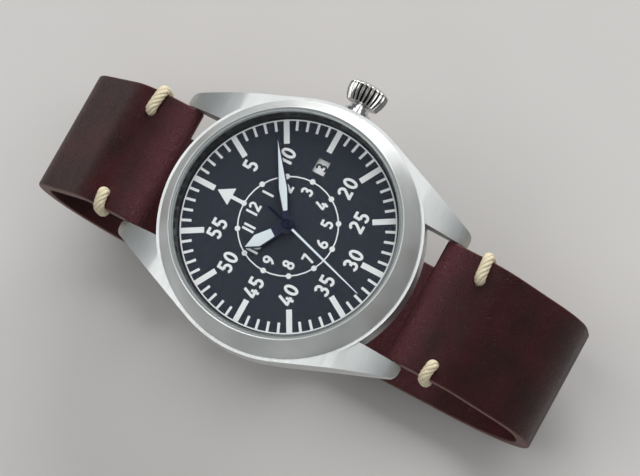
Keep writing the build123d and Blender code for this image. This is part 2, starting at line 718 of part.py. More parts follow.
def winding_stem():
    body = cylinder(PILOT_RADIUS, STEM_START, PILOT_END)
    half = STEM_SQUARE / 2
    body += block((-half, -half, PILOT_END), (half, half, SQUARE_END))
    body += cylinder(STEM_RADIUS, SQUARE_END, LEVER_GROOVE_START)
    groove_end = LEVER_GROOVE_START + LEVER_GROOVE_WIDTH
    body += cylinder(LEVER_GROOVE_RADIUS, LEVER_GROOVE_START, groove_end)
    body += cylinder(STEM_RADIUS, groove_end, CROWN_BACK)
    return on_stem(body)


def movement_holder():
    body = turned([
        (MOVEMENT_RADIUS, BRIDGE_LOW + CLAMP_THICKNESS), (HOLDER_FOOT_RADIUS, BRIDGE_LOW + CLAMP_THICKNESS),
        (HOLDER_FOOT_RADIUS, THREAD_HIGH), (CASE_BORE, THREAD_HIGH), (CASE_BORE, DIAL_LOW), (MOVEMENT_RADIUS, DIAL_LOW),
    ])
    return body - on_stem(cylinder(TUBE_BORE, MOVEMENT_RADIUS - OVERRUN, CASE_BORE + OVERRUN))


def casing_clamps():
    half = CLAMP_WIDTH / 2
    single = block((CLAMP_INNER, -half, BRIDGE_LOW), (CLAMP_OUTER, half, BRIDGE_LOW + CLAMP_THICKNESS))
    single -= cylinder(SCREW_RADIUS + CLEARANCE, BRIDGE_LOW - OVERRUN, BRIDGE_HIGH, SCREW_CIRCLE)
    return group(Rot(0, 0, angle) * single for angle in CLAMP_ANGLES)


# Movement frame

def screw_holes(angles):
    hole = cylinder(SCREW_RADIUS + CLEARANCE, BRIDGE_LOW - OVERRUN, BRIDGE_LOW + SCREW_LENGTH + OVERRUN, SCREW_CIRCLE)
    sink = cylinder(SCREW_HEAD_RADIUS + CLEARANCE, BRIDGE_LOW - OVERRUN, BRIDGE_LOW + SCREW_HEAD, SCREW_CIRCLE)
    return [Rot(0, 0, angle) * (hole + sink) for angle in angles]


def clamp_notches():
    half = CLAMP_WIDTH / 2 + CLEARANCE
    notch = block((CLAMP_INNER - CLEARANCE, -half, BRIDGE_LOW - OVERRUN),
                  (CLAMP_OUTER, half, BRIDGE_LOW + CLAMP_THICKNESS))
    hole = cylinder(SCREW_RADIUS + CLEARANCE, BRIDGE_LOW, BRIDGE_LOW + SCREW_LENGTH + OVERRUN, SCREW_CIRCLE)
    return [Rot(0, 0, angle) * (notch + hole) for angle in CLAMP_ANGLES]


def movement_screws():
    """Bridge screws sit sunk in the bridges, and the clamp screws stand on their clamps."""
    shank = cylinder(SCREW_RADIUS, BRIDGE_LOW, BRIDGE_LOW + SCREW_LENGTH, SCREW_CIRCLE)
    head = cylinder(SCREW_HEAD_RADIUS, BRIDGE_LOW, BRIDGE_LOW + SCREW_HEAD, SCREW_CIRCLE)
    half = SCREW_SLOT / 2
    reach = SCREW_HEAD_RADIUS + OVERRUN
    slot = block((SCREW_CIRCLE - reach, -half, BRIDGE_LOW - OVERRUN),
                 (SCREW_CIRCLE + reach, half, BRIDGE_LOW + SCREW_SLOT_DEPTH))
    single = shank + head - slot
    lower = BRIDGE_LOW - UNDER_BRIDGE + CLEARANCE
    clamp_head = cylinder(SCREW_HEAD_RADIUS, lower, BRIDGE_LOW, SCREW_CIRCLE)
    clamp_single = clamp_head + cylinder(SCREW_RADIUS, lower, BRIDGE_LOW + SCREW_LENGTH, SCREW_CIRCLE)
    solids = [Rot(0, 0, angle) * single for angle in BRIDGE_SCREW_ANGLES]
    solids += [Rot(0, 0, angle) * clamp_single for angle in CLAMP_ANGLES]
    return group(solids)


TRAIN_PIVOTS = [(0, 0), (THIRD_X, THIRD_Y), (ESCAPE_X, ESCAPE_Y), (PALLET_X, PALLET_Y)]
PLATE_PIVOTS = TRAIN_PIVOTS[1:] + [(BALANCE_X, BALANCE_Y)]


def jewel_seats(places, low):
    """Holes that take the jewels, open through the bridge or plate they sit in."""
    return [cylinder(JEWEL_RADIUS, low, low + JEWEL_THICKNESS, x, y) for x, y in places]


def jewels():
    low = BRIDGE_HIGH - JEWEL_THICKNESS
    solids = [jewel(x, y, low) for x, y in TRAIN_PIVOTS + [(BALANCE_X, BALANCE_Y)]]
    solids += [jewel(x, y, PLATE_LOW) for x, y in PLATE_PIVOTS]
    return group(solids)


def main_plate():
    body = cylinder(MOVEMENT_RADIUS, PLATE_LOW, PLATE_HIGH)
    half = STEM_BOSS_WIDTH / 2
    body += block((STEM_BOSS_START, -half, BRIDGE_HIGH), (MOVEMENT_RADIUS - RIM_WALL / 4, half, PLATE_LOW))
    half = PILOT_BOSS_WIDTH / 2
    body += block((PILOT_BOSS_START, -half, BRIDGE_HIGH), (PILOT_END - PINION_GAP, half, PLATE_LOW))
    body -= on_stem(cylinder(STEM_RADIUS + CLEARANCE, STEM_BOSS_START - OVERRUN, MOVEMENT_RADIUS + OVERRUN))
    body -= on_stem(cylinder(PILOT_RADIUS + CLEARANCE, STEM_START - OVERRUN, PILOT_END + OVERRUN))
    body -= cylinder(MOTION_RECESS_RADIUS, PLATE_HIGH - MOTION_RECESS, PLATE_HIGH + OVERRUN)
    body -= cylinder(CANNON_BORE + CLEARANCE, PLATE_LOW - OVERRUN, PLATE_HIGH + OVERRUN)
    body -= cylinder(ARBOR_PIVOT + CLEARANCE, PLATE_LOW - OVERRUN, PLATE_LOW + PIVOT_LENGTH, BARREL_X, BARREL_Y)
    body -= cylinder(LEVER_PIVOT, PLATE_LOW - OVERRUN, PLATE_LOW + PIVOT_LENGTH, *lever_pivot())
    body -= cylinder(LEVER_PIVOT, PLATE_LOW - OVERRUN, PLATE_LOW + PIVOT_LENGTH, *yoke_pivot())
    for seat in jewel_seats(PLATE_PIVOTS, PLATE_LOW):
        body -= seat
    for angle in DIAL_FOOT_ANGLES:
        x, y = at(DIAL_FOOT_PLACE, angle)
        body -= cylinder(DIAL_FOOT_RADIUS + CLEARANCE, PLATE_HIGH - PLATE_THICKNESS, PLATE_HIGH + OVERRUN, x, y)
    body += cylinder(PIVOT_RADIUS * 2, PLATE_HIGH - MOTION_RECESS, PLATE_HIGH + CLEARANCE, MINUTE_X, MINUTE_Y)
    for cutter in screw_holes(BRIDGE_SCREW_ANGLES) + clamp_notches():
        body -= cutter
    return body


def split_half(side):
    """The half of the movement on one side of the line between the bridges, as a tall slab."""
    reach = 2 * MOVEMENT_RADIUS
    edge = BRIDGE_SPLIT + side * BRIDGE_SPLIT_GAP / 2
    near, far = (edge, reach) if side > 0 else (-reach, edge)
    return Rot(0, 0, BARREL_ANGLE - 90) * block((-reach, near, BRIDGE_LOW - OVERRUN), (reach, far, PLATE_LOW + OVERRUN))


def bridge_blank(arcs):
    body = cylinder(MOVEMENT_RADIUS, BRIDGE_LOW, BRIDGE_HIGH)
    for first, last in arcs:
        body += sector(MOVEMENT_RADIUS, MOVEMENT_RADIUS - RIM_WALL, first, last, BRIDGE_HIGH, PLATE_LOW)
    return body


def wheel_tip(teeth, module):
    return module * teeth / 2 + ADDENDUM_SHARE * module


def click_pivot():
    distance = wheel_tip(RATCHET_TEETH, WINDING_MODULE) + CLICK_NOSE + CLEARANCE
    x, y = at(distance, CLICK_ANGLE)
    side_x, side_y = at(CLICK_REACH, CLICK_ANGLE + 90)
    return BARREL_X + x + side_x, BARREL_Y + y + side_y


def winding_cutters():
    """Room in the bridges for the ratchet wheel, the crown wheel, the click and the winding pinion."""
    low, high = BRIDGE_LOW - OVERRUN, BRIDGE_LOW + WINDING_WHEEL_HEIGHT + RECESS_FLOOR
    half = WINDING_PINION_RADIUS + 2 * PINION_GAP
    start, end = WINDING_PINION_START, WINDING_PINION_START + WINDING_PINION_LENGTH
    return [
        cylinder(wheel_tip(RATCHET_TEETH, WINDING_MODULE) + CLICK_NOSE, low, high, BARREL_X, BARREL_Y),
        cylinder(wheel_tip(CROWN_WHEEL_TEETH, WINDING_MODULE) + CLICK_NOSE, low, high, CROWN_WHEEL_X, 0),
        cylinder(CLICK_REACH + CLICK_HUB, low, high, *click_pivot()),
        block((start - PINION_GAP, -half, low), (end + PINION_GAP, half, BRIDGE_HIGH + OVERRUN)),
        cylinder(ARBOR_PIVOT + CLEARANCE, low, BRIDGE_HIGH + OVERRUN, BARREL_X, BARREL_Y),
    ]


def barrel_bridge():
    body = bridge_blank([BARREL_RIM_ARC]) & split_half(1)
    for cutter in winding_cutters() + screw_holes(BRIDGE_SCREW_ANGLES) + clamp_notches():
        body -= cutter
    for x, y in (click_pivot(), (CROWN_WHEEL_X, 0)):
        body += cylinder(WHEEL_POST, BRIDGE_LOW + CLEARANCE, BRIDGE_HIGH, x, y)
    return body


def cock_outline(margin):
    """The balance cock from above: a round head over the balance and an arm out to the rim."""
    half = COCK_WIDTH / 2 + margin
    low, high = BRIDGE_LOW - margin, BRIDGE_HIGH + margin
    arm = Rot(0, 0, BALANCE_ANGLE) * block((BALANCE_DISTANCE, -half, low), (MOVEMENT_RADIUS + margin, half, high))
    return arm + cylinder(COCK_HEAD_RADIUS + margin, low, high, BALANCE_X, BALANCE_Y)


def balance_cock():
    body = cock_outline(0) & cylinder(MOVEMENT_RADIUS, BRIDGE_LOW, BRIDGE_HIGH)
    first, last = COCK_RIM_ARC
    foot = sector(MOVEMENT_RADIUS, MOVEMENT_RADIUS - RIM_WALL, first, last, BRIDGE_HIGH, PLATE_LOW)
    arm_half = COCK_WIDTH / 2
    keep = Rot(0, 0, BALANCE_ANGLE) * block((0, -arm_half, BRIDGE_LOW), (MOVEMENT_RADIUS, arm_half, PLATE_LOW))
    body += foot & keep
    for seat in jewel_seats([(BALANCE_X, BALANCE_Y)], BRIDGE_HIGH - JEWEL_THICKNESS):
        body -= seat
    stud = hairspring_end()
    body += cylinder(STUD_RADIUS, HAIRSPRING_LOW, BRIDGE_HIGH, *stud)
    body -= cylinder(PIVOT_RADIUS * 2, BRIDGE_LOW - OVERRUN, BRIDGE_HIGH, BALANCE_X, BALANCE_Y)
    for cutter in screw_holes(BRIDGE_SCREW_ANGLES):
        body -= cutter
    return body


def train_bridge():
    body = bridge_blank(TRAIN_RIM_ARCS) & split_half(-1)
    body -= cock_outline(COCK_GAP)
    body -= cylinder(BALANCE_OPENING, BRIDGE_LOW - OVERRUN, BRIDGE_HIGH + OVERRUN, BALANCE_X, BALANCE_Y)
    for x, y in TRAIN_PIVOTS[1:]:
        body -= cylinder(PIVOT_RADIUS * 2, BRIDGE_LOW - OVERRUN, BRIDGE_HIGH, x, y)
    cutters = jewel_seats(TRAIN_PIVOTS, BRIDGE_HIGH - JEWEL_THICKNESS)
    cutters.append(cylinder(REVERSING_POST + CLEARANCE, BRIDGE_LOW - OVERRUN, BRIDGE_HIGH, REVERSING_X, REVERSING_Y))
    for cutter in cutters + winding_cutters() + screw_holes(BRIDGE_SCREW_ANGLES) + clamp_notches():
        body -= cutter
    return body


# Going train

def barrel_drum():
    outer = BARREL_TEETH * BARREL_MODULE / 2 - BARREL_RIM_STEP
    body = cylinder(outer, BARREL_LOW, BARREL_HIGH)
    body += toothed(BARREL_TEETH, BARREL_MODULE, BARREL_TOOTH_LOW, BARREL_TOOTH_HIGH, BARREL_ANGLE + 180)
    body -= cylinder(outer - BARREL_WALL, BARREL_LOW + BARREL_LID, BARREL_HIGH - BARREL_LID)
    body -= cylinder(ARBOR_PIVOT + CLEARANCE, BARREL_LOW - OVERRUN, BARREL_HIGH + OVERRUN)
    return Pos(BARREL_X, BARREL_Y, 0) * body


def barrel_arbor():
    inside_low = BARREL_LOW + BARREL_LID + CLEARANCE
    inside_high = BARREL_HIGH - BARREL_LID - CLEARANCE
    body = cylinder(ARBOR_PIVOT, BRIDGE_LOW + CLEARANCE, PLATE_LOW + PIVOT_LENGTH - CLEARANCE)
    body += cylinder(ARBOR_RADIUS, inside_low, inside_high)
    return Pos(BARREL_X, BARREL_Y, 0) * body


def mainspring():
    low = BARREL_LOW + BARREL_LID + 2 * CLEARANCE
    height = BARREL_HIGH - BARREL_LOW - 2 * BARREL_LID - 4 * CLEARANCE
    inner = BARREL_TEETH * BARREL_MODULE / 2 - BARREL_RIM_STEP - BARREL_WALL - CLEARANCE
    inner -= MAINSPRING_TURNS * (MAINSPRING_STRIP + MAINSPRING_GAP) + MAINSPRING_STRIP
    return Pos(BARREL_X, BARREL_Y, 0) * spiral(inner, MAINSPRING_TURNS, MAINSPRING_STRIP, MAINSPRING_GAP, low, height)


def ratchet_wheel():
    phase = degrees(atan2(-BARREL_Y, CROWN_WHEEL_X - BARREL_X))
    high = BRIDGE_LOW + WINDING_WHEEL_HEIGHT
    body = toothed(RATCHET_TEETH, WINDING_MODULE, BRIDGE_LOW, high, phase)
    return Pos(BARREL_X, BARREL_Y, 0) * (body - cylinder(ARBOR_PIVOT, BRIDGE_LOW + CLEARANCE, high + OVERRUN))


def crown_wheel():
    half_tooth = 180 / CROWN_WHEEL_TEETH
    phase = degrees(atan2(BARREL_Y, BARREL_X - CROWN_WHEEL_X)) + half_tooth
    high = BRIDGE_LOW + WINDING_WHEEL_HEIGHT
    body = toothed(CROWN_WHEEL_TEETH, WINDING_MODULE, BRIDGE_LOW, high, phase)
    return Pos(CROWN_WHEEL_X, 0, 0) * (body - cylinder(WHEEL_POST + CLEARANCE, BRIDGE_LOW - OVERRUN, high + OVERRUN))


def click():
    """A pawl beside the ratchet wheel, on a post of the barrel bridge."""
    high = BRIDGE_LOW + WINDING_WHEEL_HEIGHT
    half = CLICK_NOSE / 2
    body = tube(CLICK_HUB, WHEEL_POST + CLEARANCE, BRIDGE_LOW, high)
    arm = Rot(0, 0, CLICK_ANGLE - 90) * block((CLICK_HUB - half, -half, BRIDGE_LOW), (CLICK_REACH, half, high))
    x, y = click_pivot()
    return Pos(x, y, 0) * (body + arm)


def centre_wheel():
    body = wheel(CENTRE_TEETH, CENTRE_MODULE, CENTRE_WHEEL_LOW, CENTRE_WHEEL_LOW + WHEEL_THICKNESS, THIRD_ANGLE)
    half_leaf = 180 / CENTRE_LEAVES
    leaves = toothed(CENTRE_LEAVES, BARREL_MODULE, CENTRE_PINION_LOW, CENTRE_PINION_HIGH, BARREL_ANGLE + half_leaf)
    body += leaves + cylinder(2 * CENTRE_TUBE_RADIUS, CENTRE_PINION_HIGH - CLEARANCE, PLATE_LOW - CLEARANCE)
    body += cylinder(CENTRE_TUBE_RADIUS, CENTRE_PINION_LOW, DIAL_HIGH)
    return body - cylinder(CENTRE_TUBE_BORE, CENTRE_PINION_LOW - OVERRUN, DIAL_HIGH + OVERRUN)


def third_wheel():
    toward = THIRD_ANGLE + 180
    body = wheel(THIRD_TEETH, THIRD_MODULE, THIRD_WHEEL_LOW, THIRD_WHEEL_LOW + WHEEL_THICKNESS, toward)
    half_leaf = 180 / THIRD_LEAVES
    body += toothed(THIRD_LEAVES, CENTRE_MODULE, THIRD_PINION_LOW, THIRD_PINION_HIGH, toward + half_leaf)
    return Pos(THIRD_X, THIRD_Y, 0) * (body + staff())


def fourth_wheel():
    body = wheel(FOURTH_TEETH, FOURTH_MODULE, FOURTH_WHEEL_LOW, FOURTH_WHEEL_LOW + WHEEL_THICKNESS, ESCAPE_ANGLE)
    half_leaf = 180 / FOURTH_LEAVES
    body += toothed(FOURTH_LEAVES, THIRD_MODULE, FOURTH_PINION_LOW, FOURTH_PINION_HIGH, THIRD_ANGLE + half_leaf)
    body += cylinder(STAFF_RADIUS, BRIDGE_HIGH + CLEARANCE, CENTRE_PINION_LOW - CLEARANCE)
    body += cylinder(PIVOT_RADIUS, BRIDGE_HIGH - PIVOT_LENGTH, BRIDGE_HIGH + OVERRUN)
    return body + cylinder(SECONDS_ARBOR, BRIDGE_HIGH + CLEARANCE, DIAL_HIGH + SECONDS_RISE)


def escape_wheel():
    toward = ESCAPE_ANGLE + 180
    pitch = 360 / ESCAPE_TEETH
    root = ESCAPE_RADIUS - ESCAPE_TOOTH_DEPTH
    points = []
    for tooth in range(ESCAPE_TEETH):
        points.append(at(root, tooth * pitch))
        points.append(at(ESCAPE_RADIUS, (tooth + ROOT_SHARE) * pitch))
        points.append(at(ESCAPE_RADIUS, (tooth + ROOT_SHARE + TIP_SHARE) * pitch))
        points.append(at(root, (tooth + 2 * ROOT_SHARE) * pitch))
    body = plate(points, ESCAPE_WHEEL_LOW, ESCAPE_WHEEL_LOW + WHEEL_THICKNESS)
    half_leaf = 180 / ESCAPE_LEAVES
    body += toothed(ESCAPE_LEAVES, FOURTH_MODULE, ESCAPE_PINION_LOW, ESCAPE_PINION_HIGH, toward + half_leaf)
    return Pos(ESCAPE_X, ESCAPE_Y, 0) * (body + staff())


def pallet_fork():
    """The fork, with a curved arm on each side that holds its pallet stones clear of the escape wheel."""
    low, high = ESCAPE_WHEEL_LOW, ESCAPE_WHEEL_LOW + PALLET_HEIGHT
    half = FORK_WIDTH / 2
    toward = degrees(atan2(BALANCE_Y - PALLET_Y, BALANCE_X - PALLET_X))
    fork = block((0, -half, low), (FORK_LENGTH, half, high))
    horn = block((FORK_LENGTH - half, -FORK_HORN, low), (FORK_LENGTH + FORK_HORN, FORK_HORN, high))
    slot = block((FORK_LENGTH + half, -half, low - OVERRUN), (FORK_LENGTH + 2 * FORK_HORN, half, high + OVERRUN))
    body = Rot(0, 0, toward) * (fork + horn - slot)
    arms = block((-half, -PALLET_ARM, low), (half, PALLET_ARM, high))
    for side in (-1, 1):
        end = side * (PALLET_ARM - half)
        arms += block((-PALLET_STONE, end - half, low), (half, end + half, high))
    body += Rot(0, 0, PALLET_ANGLE) * arms
    return Pos(PALLET_X, PALLET_Y, 0) * (body + staff())


def balance_wheel():
    high = BALANCE_LOW + BALANCE_HEIGHT
    body = tube(BALANCE_RADIUS, BALANCE_RADIUS - BALANCE_RIM, BALANCE_LOW, high)
    half = BALANCE_ARM_WIDTH / 2
    reach = BALANCE_RADIUS - BALANCE_RIM / 2
    arm_high = BALANCE_LOW + BALANCE_ARM_HEIGHT
    body += block((-reach, -half, BALANCE_LOW), (reach, half, arm_high))
    body += block((-half, -reach, BALANCE_LOW), (half, reach, arm_high))
    body += cylinder(ROLLER_RADIUS, ROLLER_LOW, BALANCE_LOW)
    hub = cylinder(2 * STAFF_RADIUS, ROLLER_LOW, high)
    hub += cylinder(COLLET_RADIUS - CLEARANCE, HAIRSPRING_LOW, HAIRSPRING_LOW + HAIRSPRING_HEIGHT)
    return Pos(BALANCE_X, BALANCE_Y, 0) * (body + hub + staff())


def hairspring_end():
    """Where the hairspring's outer coil ends, at the stud on the cock."""
    reach = COLLET_RADIUS + HAIRSPRING_TURNS * (HAIRSPRING_STRIP + HAIRSPRING_GAP) + HAIRSPRING_STRIP
    x, y = at(reach + STUD_RADIUS, BALANCE_ANGLE)
    return BALANCE_X + x, BALANCE_Y + y


def hairspring():
    coil = spiral(COLLET_RADIUS, HAIRSPRING_TURNS, HAIRSPRING_STRIP, HAIRSPRING_GAP, HAIRSPRING_LOW, HAIRSPRING_HEIGHT)
    return Pos(BALANCE_X, BALANCE_Y, 0) * Rot(0, 0, BALANCE_ANGLE) * coil


# Winding and setting work

def crown_teeth(start, end, radius):
    """A pinion on the stem with grooves between its teeth and a square bore."""
    body = cylinder(radius, start, end)
    half = PINION_TOOTH_DEPTH
    groove = block((radius - PINION_TOOTH_DEPTH, -half, start - OVERRUN), (radius + OVERRUN, half, end + OVERRUN))
    for tooth in range(PINION_TEETH):
        body -= Rot(0, 0, 360 * tooth / PINION_TEETH) * groove
    bore = STEM_SQUARE / 2 + CLEARANCE
    return body - block((-bore, -bore, start - OVERRUN), (bore, bore, end + OVERRUN))


def winding_pinion():
    end = WINDING_PINION_START + WINDING_PINION_LENGTH
    return on_stem(crown_teeth(WINDING_PINION_START, end, WINDING_PINION_RADIUS))


def sliding_pinion():
    end = WINDING_PINION_START - PINION_GAP
    body = crown_teeth(SLIDING_PINION_START, end, SLIDING_PINION_RADIUS)
    groove_end = SLIDING_GROOVE_START + SLIDING_GROOVE_WIDTH
    return on_stem(body - tube(CROWN_RADIUS, SLIDING_GROOVE_RADIUS, SLIDING_GROOVE_START, groove_end))


def lever_pivot():
    middle = LEVER_GROOVE_START + LEVER_GROOVE_WIDTH / 2 + PULL_TRAVEL / 2
    return middle, -LEVER_REACH - LEVER_NOSE_DEPTH


def yoke_pivot():
    middle = SLIDING_GROOVE_START + SLIDING_GROOVE_WIDTH / 2 - SLIDING_TRAVEL / 2
    return middle, YOKE_REACH + YOKE_NOSE_DEPTH


def lever(reach, nose, pivot, target_x, target_y):
    """A flat lever with a round hub on its pivot pin and a nose that points at the stem."""
    x, y = pivot
    direction = degrees(atan2(target_y - y, target_x - x))
    arm = block((0, -nose, LEVER_LOW), (reach, nose, LEVER_HIGH))
    hub = tube(LEVER_HUB, LEVER_PIVOT, LEVER_LOW, LEVER_HIGH)
    arm -= cylinder(LEVER_PIVOT, LEVER_LOW - OVERRUN, LEVER_HIGH + OVERRUN)
    pin = cylinder(LEVER_PIVOT, LEVER_LOW, PLATE_LOW)
    pin += cylinder(LEVER_PIVOT - CLEARANCE, LEVER_LOW, PLATE_LOW + PIVOT_LENGTH - CLEARANCE)
    return Pos(x, y, 0) * (Rot(0, 0, direction) * (arm + hub) + pin)


def setting_lever():
    groove = LEVER_GROOVE_START + LEVER_GROOVE_WIDTH / 2
    return lever(LEVER_REACH, LEVER_NOSE, lever_pivot(), groove, -LEVER_NOSE_DEPTH)


def yoke():
    groove = SLIDING_GROOVE_START + SLIDING_GROOVE_WIDTH / 2
    return lever(YOKE_REACH, YOKE_NOSE, yoke_pivot(), groove, YOKE_NOSE_DEPTH)


# Motion work, date and dial

def cannon_pinion():
    low = PLATE_HIGH - MOTION_RECESS + MOTION_FLOOR_GAP
    body = toothed(CANNON_LEAVES, CANNON_MODULE, low, low + CANNON_LEAF_HEIGHT, MOTION_ANGLE)
    body += cylinder(CANNON_RADIUS, low, DIAL_HIGH + MINUTE_RISE)
    return body - cylinder(CANNON_BORE, low - OVERRUN, DIAL_HIGH + MINUTE_RISE + OVERRUN)


def minute_wheel():
    low = PLATE_HIGH - MOTION_RECESS + MOTION_FLOOR_GAP
    toward = MOTION_ANGLE + 180
    half_tooth = 180 / MINUTE_WHEEL_TEETH
    body = wheel(MINUTE_WHEEL_TEETH, CANNON_MODULE, low, low + MOTION_WHEEL_HEIGHT, toward + half_tooth)
    body += toothed(MINUTE_LEAVES, HOUR_MODULE, low, PLATE_HIGH + CLEARANCE, toward)
    body -= cylinder(PIVOT_RADIUS * 2 + CLEARANCE, low - OVERRUN, PLATE_HIGH + OVERRUN)
    return Pos(MINUTE_X, MINUTE_Y, 0) * body


def hour_wheel():
    low = PLATE_HIGH - MOTION_RECESS + MOTION_FLOOR_GAP + CANNON_LEAF_HEIGHT + CLEARANCE
    half_tooth = 180 / HOUR_WHEEL_TEETH
    body = wheel(HOUR_WHEEL_TEETH, HOUR_MODULE, low, low + MOTION_WHEEL_HEIGHT, MOTION_ANGLE + half_tooth)
    body += cylinder(HOUR_PIPE_RADIUS, low, DIAL_HIGH + HOUR_RISE)
    return body - cylinder(HOUR_PIPE_BORE, low - OVERRUN, DIAL_HIGH + HOUR_RISE + OVERRUN)


def date_disc():
    pitch = 360 / DATE_TEETH
    points = []
    for tooth in range(DATE_TEETH):
        middle = tooth * pitch
        points.append(at(DATE_INNER, middle - ROOT_SHARE * pitch))
        points.append(at(DATE_INNER - DATE_TOOTH_DEPTH, middle - TIP_SHARE * pitch))
        points.append(at(DATE_INNER - DATE_TOOTH_DEPTH, middle + TIP_SHARE * pitch))
        points.append(at(DATE_INNER, middle + ROOT_SHARE * pitch))
    low = PLATE_HIGH + DATE_GAP
    opening = plate(points, low - OVERRUN, low + DATE_THICKNESS + OVERRUN)
    return cylinder(DATE_OUTER, low, low + DATE_THICKNESS) - opening


def dial():
    body = tube(DIAL_RADIUS, DIAL_HOLE, DIAL_LOW, DIAL_HIGH)
    half_width, half_height = DATE_WINDOW_WIDTH / 2, DATE_WINDOW_HEIGHT / 2
    body -= block((DATE_WINDOW_X - half_width, -half_height, DIAL_LOW - OVERRUN),
                  (DATE_WINDOW_X + half_width, half_height, DIAL_HIGH + OVERRUN))
    for angle in DIAL_FOOT_ANGLES:
        x, y = at(DIAL_FOOT_PLACE, angle)
        body += cylinder(DIAL_FOOT_RADIUS, DIAL_LOW - DIAL_FOOT_LENGTH, DIAL_LOW, x, y)
    return body


def blade(outline, low):
    """One arm of a hand, symmetrical about the 12 o'clock line."""
    points = outline + [(-half, distance) for half, distance in outline[::-1] if half > 0]
    return plate(points, low, low + HAND_THICKNESS)


def hour_hand():
    low = DIAL_HIGH + HOUR_RISE
    body = blade(HOUR_OUTLINE, low) - blade(HOUR_WINDOW, low)
    body += cylinder(HOUR_HUB, low, low + HAND_THICKNESS)
    body += tube(HOUR_PIPE_RADIUS + HAND_POST, HOUR_PIPE_RADIUS, low - HAND_POST, low)
    return Rot(0, 0, -HOUR_ANGLE) * (body - cylinder(HOUR_PIPE_BORE, low - OVERRUN, low + OVERRUN))


def minute_hand():
    low = DIAL_HIGH + MINUTE_RISE
    body = blade(MINUTE_OUTLINE, low) - blade(MINUTE_WINDOW, low)
    body += cylinder(MINUTE_HUB, low, low + HAND_THICKNESS)
    return Rot(0, 0, -MINUTE_ANGLE) * (body - cylinder(CANNON_BORE, low - OVERRUN, low + OVERRUN))


def seconds_hand():
    low = DIAL_HIGH + SECONDS_RISE
    body = blade(SECONDS_OUTLINE, low) + Rot(0, 0, 180) * blade(SECONDS_TAIL, low)
    body += cylinder(SECONDS_HUB, low, low + HAND_THICKNESS)
    body += cylinder(2 * SECONDS_ARBOR, low, low + 2 * HAND_THICKNESS)
    return Rot(0, 0, -SECONDS_ANGLE) * body


# Rotor

def rotor():
    web_low = ROTOR_HIGH - ROTOR_WEB
    body = sector(ROTOR_RADIUS, ROTOR_HUB_BORE, 180, 360, web_low, ROTOR_HIGH)
    body += sector(ROTOR_RADIUS, ROTOR_RADIUS - ROTOR_RIM_WIDTH, 180, 360, ROTOR_LOW, ROTOR_HIGH)
    body += cylinder(ROTOR_HUB_RADIUS, web_low, ROTOR_HIGH)
    gear_low = ROTOR_HIGH
    body += toothed(ROTOR_GEAR_TEETH, ROTOR_GEAR_MODULE, gear_low, gear_low + ROTOR_GEAR_HEIGHT, REVERSING_ANGLE)
    body -= cylinder(ROTOR_HUB_BORE, ROTOR_LOW - OVERRUN, BRIDGE_LOW)
    for angle in (225, 315):
        x, y = at(ROTOR_WEB_PLACE, angle)
        body -= cylinder(ROTOR_WEB_WINDOW / 2, web_low - OVERRUN, ROTOR_HIGH + OVERRUN, x, y)
    return body


def rotor_bearing():
    """The fixed inner race on the train bridge, with its balls beside it."""
    low = ROTOR_HIGH - ROTOR_WEB - 2 * CLEARANCE
    middle = ROTOR_HIGH - ROTOR_WEB / 2
    ball_place = BEARING_RADIUS + BALL_RADIUS - BEARING_GROOVE / 2 + CLEARANCE
    race = cylinder(BEARING_RADIUS, low, BRIDGE_LOW)
    race -= tube(BEARING_RADIUS + OVERRUN, BEARING_RADIUS - BEARING_GROOVE, middle - BALL_RADIUS, middle + BALL_RADIUS)
    half = SCREW_SLOT / 2
    race -= block((-BEARING_RADIUS, -half, low - OVERRUN), (BEARING_RADIUS, half, low + SCREW_SLOT_DEPTH))
    balls = [
        Rot(0, 0, 360 * turn / BALL_COUNT) * Pos(ball_place - CLEARANCE, 0, middle) * Sphere(BALL_RADIUS - CLEARANCE)
        for turn in range(BALL_COUNT)
    ]
    return group([race] + balls)


def reversing_wheel():
    low = ROTOR_HIGH + CLEARANCE
    half_tooth = 180 / REVERSING_TEETH
    body = toothed(REVERSING_TEETH, ROTOR_GEAR_MODULE, low, low + ROTOR_GEAR_HEIGHT, REVERSING_ANGLE + 180 + half_tooth)
    body += cylinder(REVERSING_POST, low, BRIDGE_HIGH - CLEARANCE)
    return Pos(REVERSING_X, REVERSING_Y, 0) * body


# Strap

def ribbon(start, heading, moves, thickness):
    """The edges of a strip of leather seen from the side.

    A move is (length, 0) for a straight run, or (radius, turn) for an arc whose turn in
    degrees is negative to the right.  Returns the face, and the last middle point and heading.
    """
    half = thickness / 2
    y, z = start
    left, right = [], []
    for size, turn in moves:
        side_y, side_z = -sin(radians(heading)), cos(radians(heading))
        first = [(y + half * side_y, z + half * side_z), (y - half * side_y, z - half * side_z)]
        if turn == 0:
            y, z = y + size * cos(radians(heading)), z + size * sin(radians(heading))
            last = [(y + half * side_y, z + half * side_z), (y - half * side_y, z - half * side_z)]
            left.append(Line(first[0], last[0]))
            right.append(Line(first[1], last[1]))
            continue
        way = 1 if turn > 0 else -1
        centre_y, centre_z = y + way * size * side_y, z + way * size * side_z
        points = []
        for share in (0, 0.5, 1):
            angle = radians(heading + share * turn)
            out_y, out_z = way * sin(angle), -way * cos(angle)
            points.append([(centre_y + (size + way * offset) * out_y, centre_z + (size + way * offset) * out_z)
                           for offset in (-half, half)])
        left.append(ThreePointArc(*[pair[0] for pair in points]))
        right.append(ThreePointArc(*[pair[1] for pair in points]))
        heading += turn
        y = centre_y + size * way * sin(radians(heading))
        z = centre_z - size * way * cos(radians(heading))
    ends = [Line(left[0] @ 0, right[0] @ 0), Line(left[-1] @ 1, right[-1] @ 1)]
    return make_face(left + right + ends), (y, z), heading


TOP_MIDDLE = BAR_HEIGHT + FOLD_RADIUS - LEATHER / 2


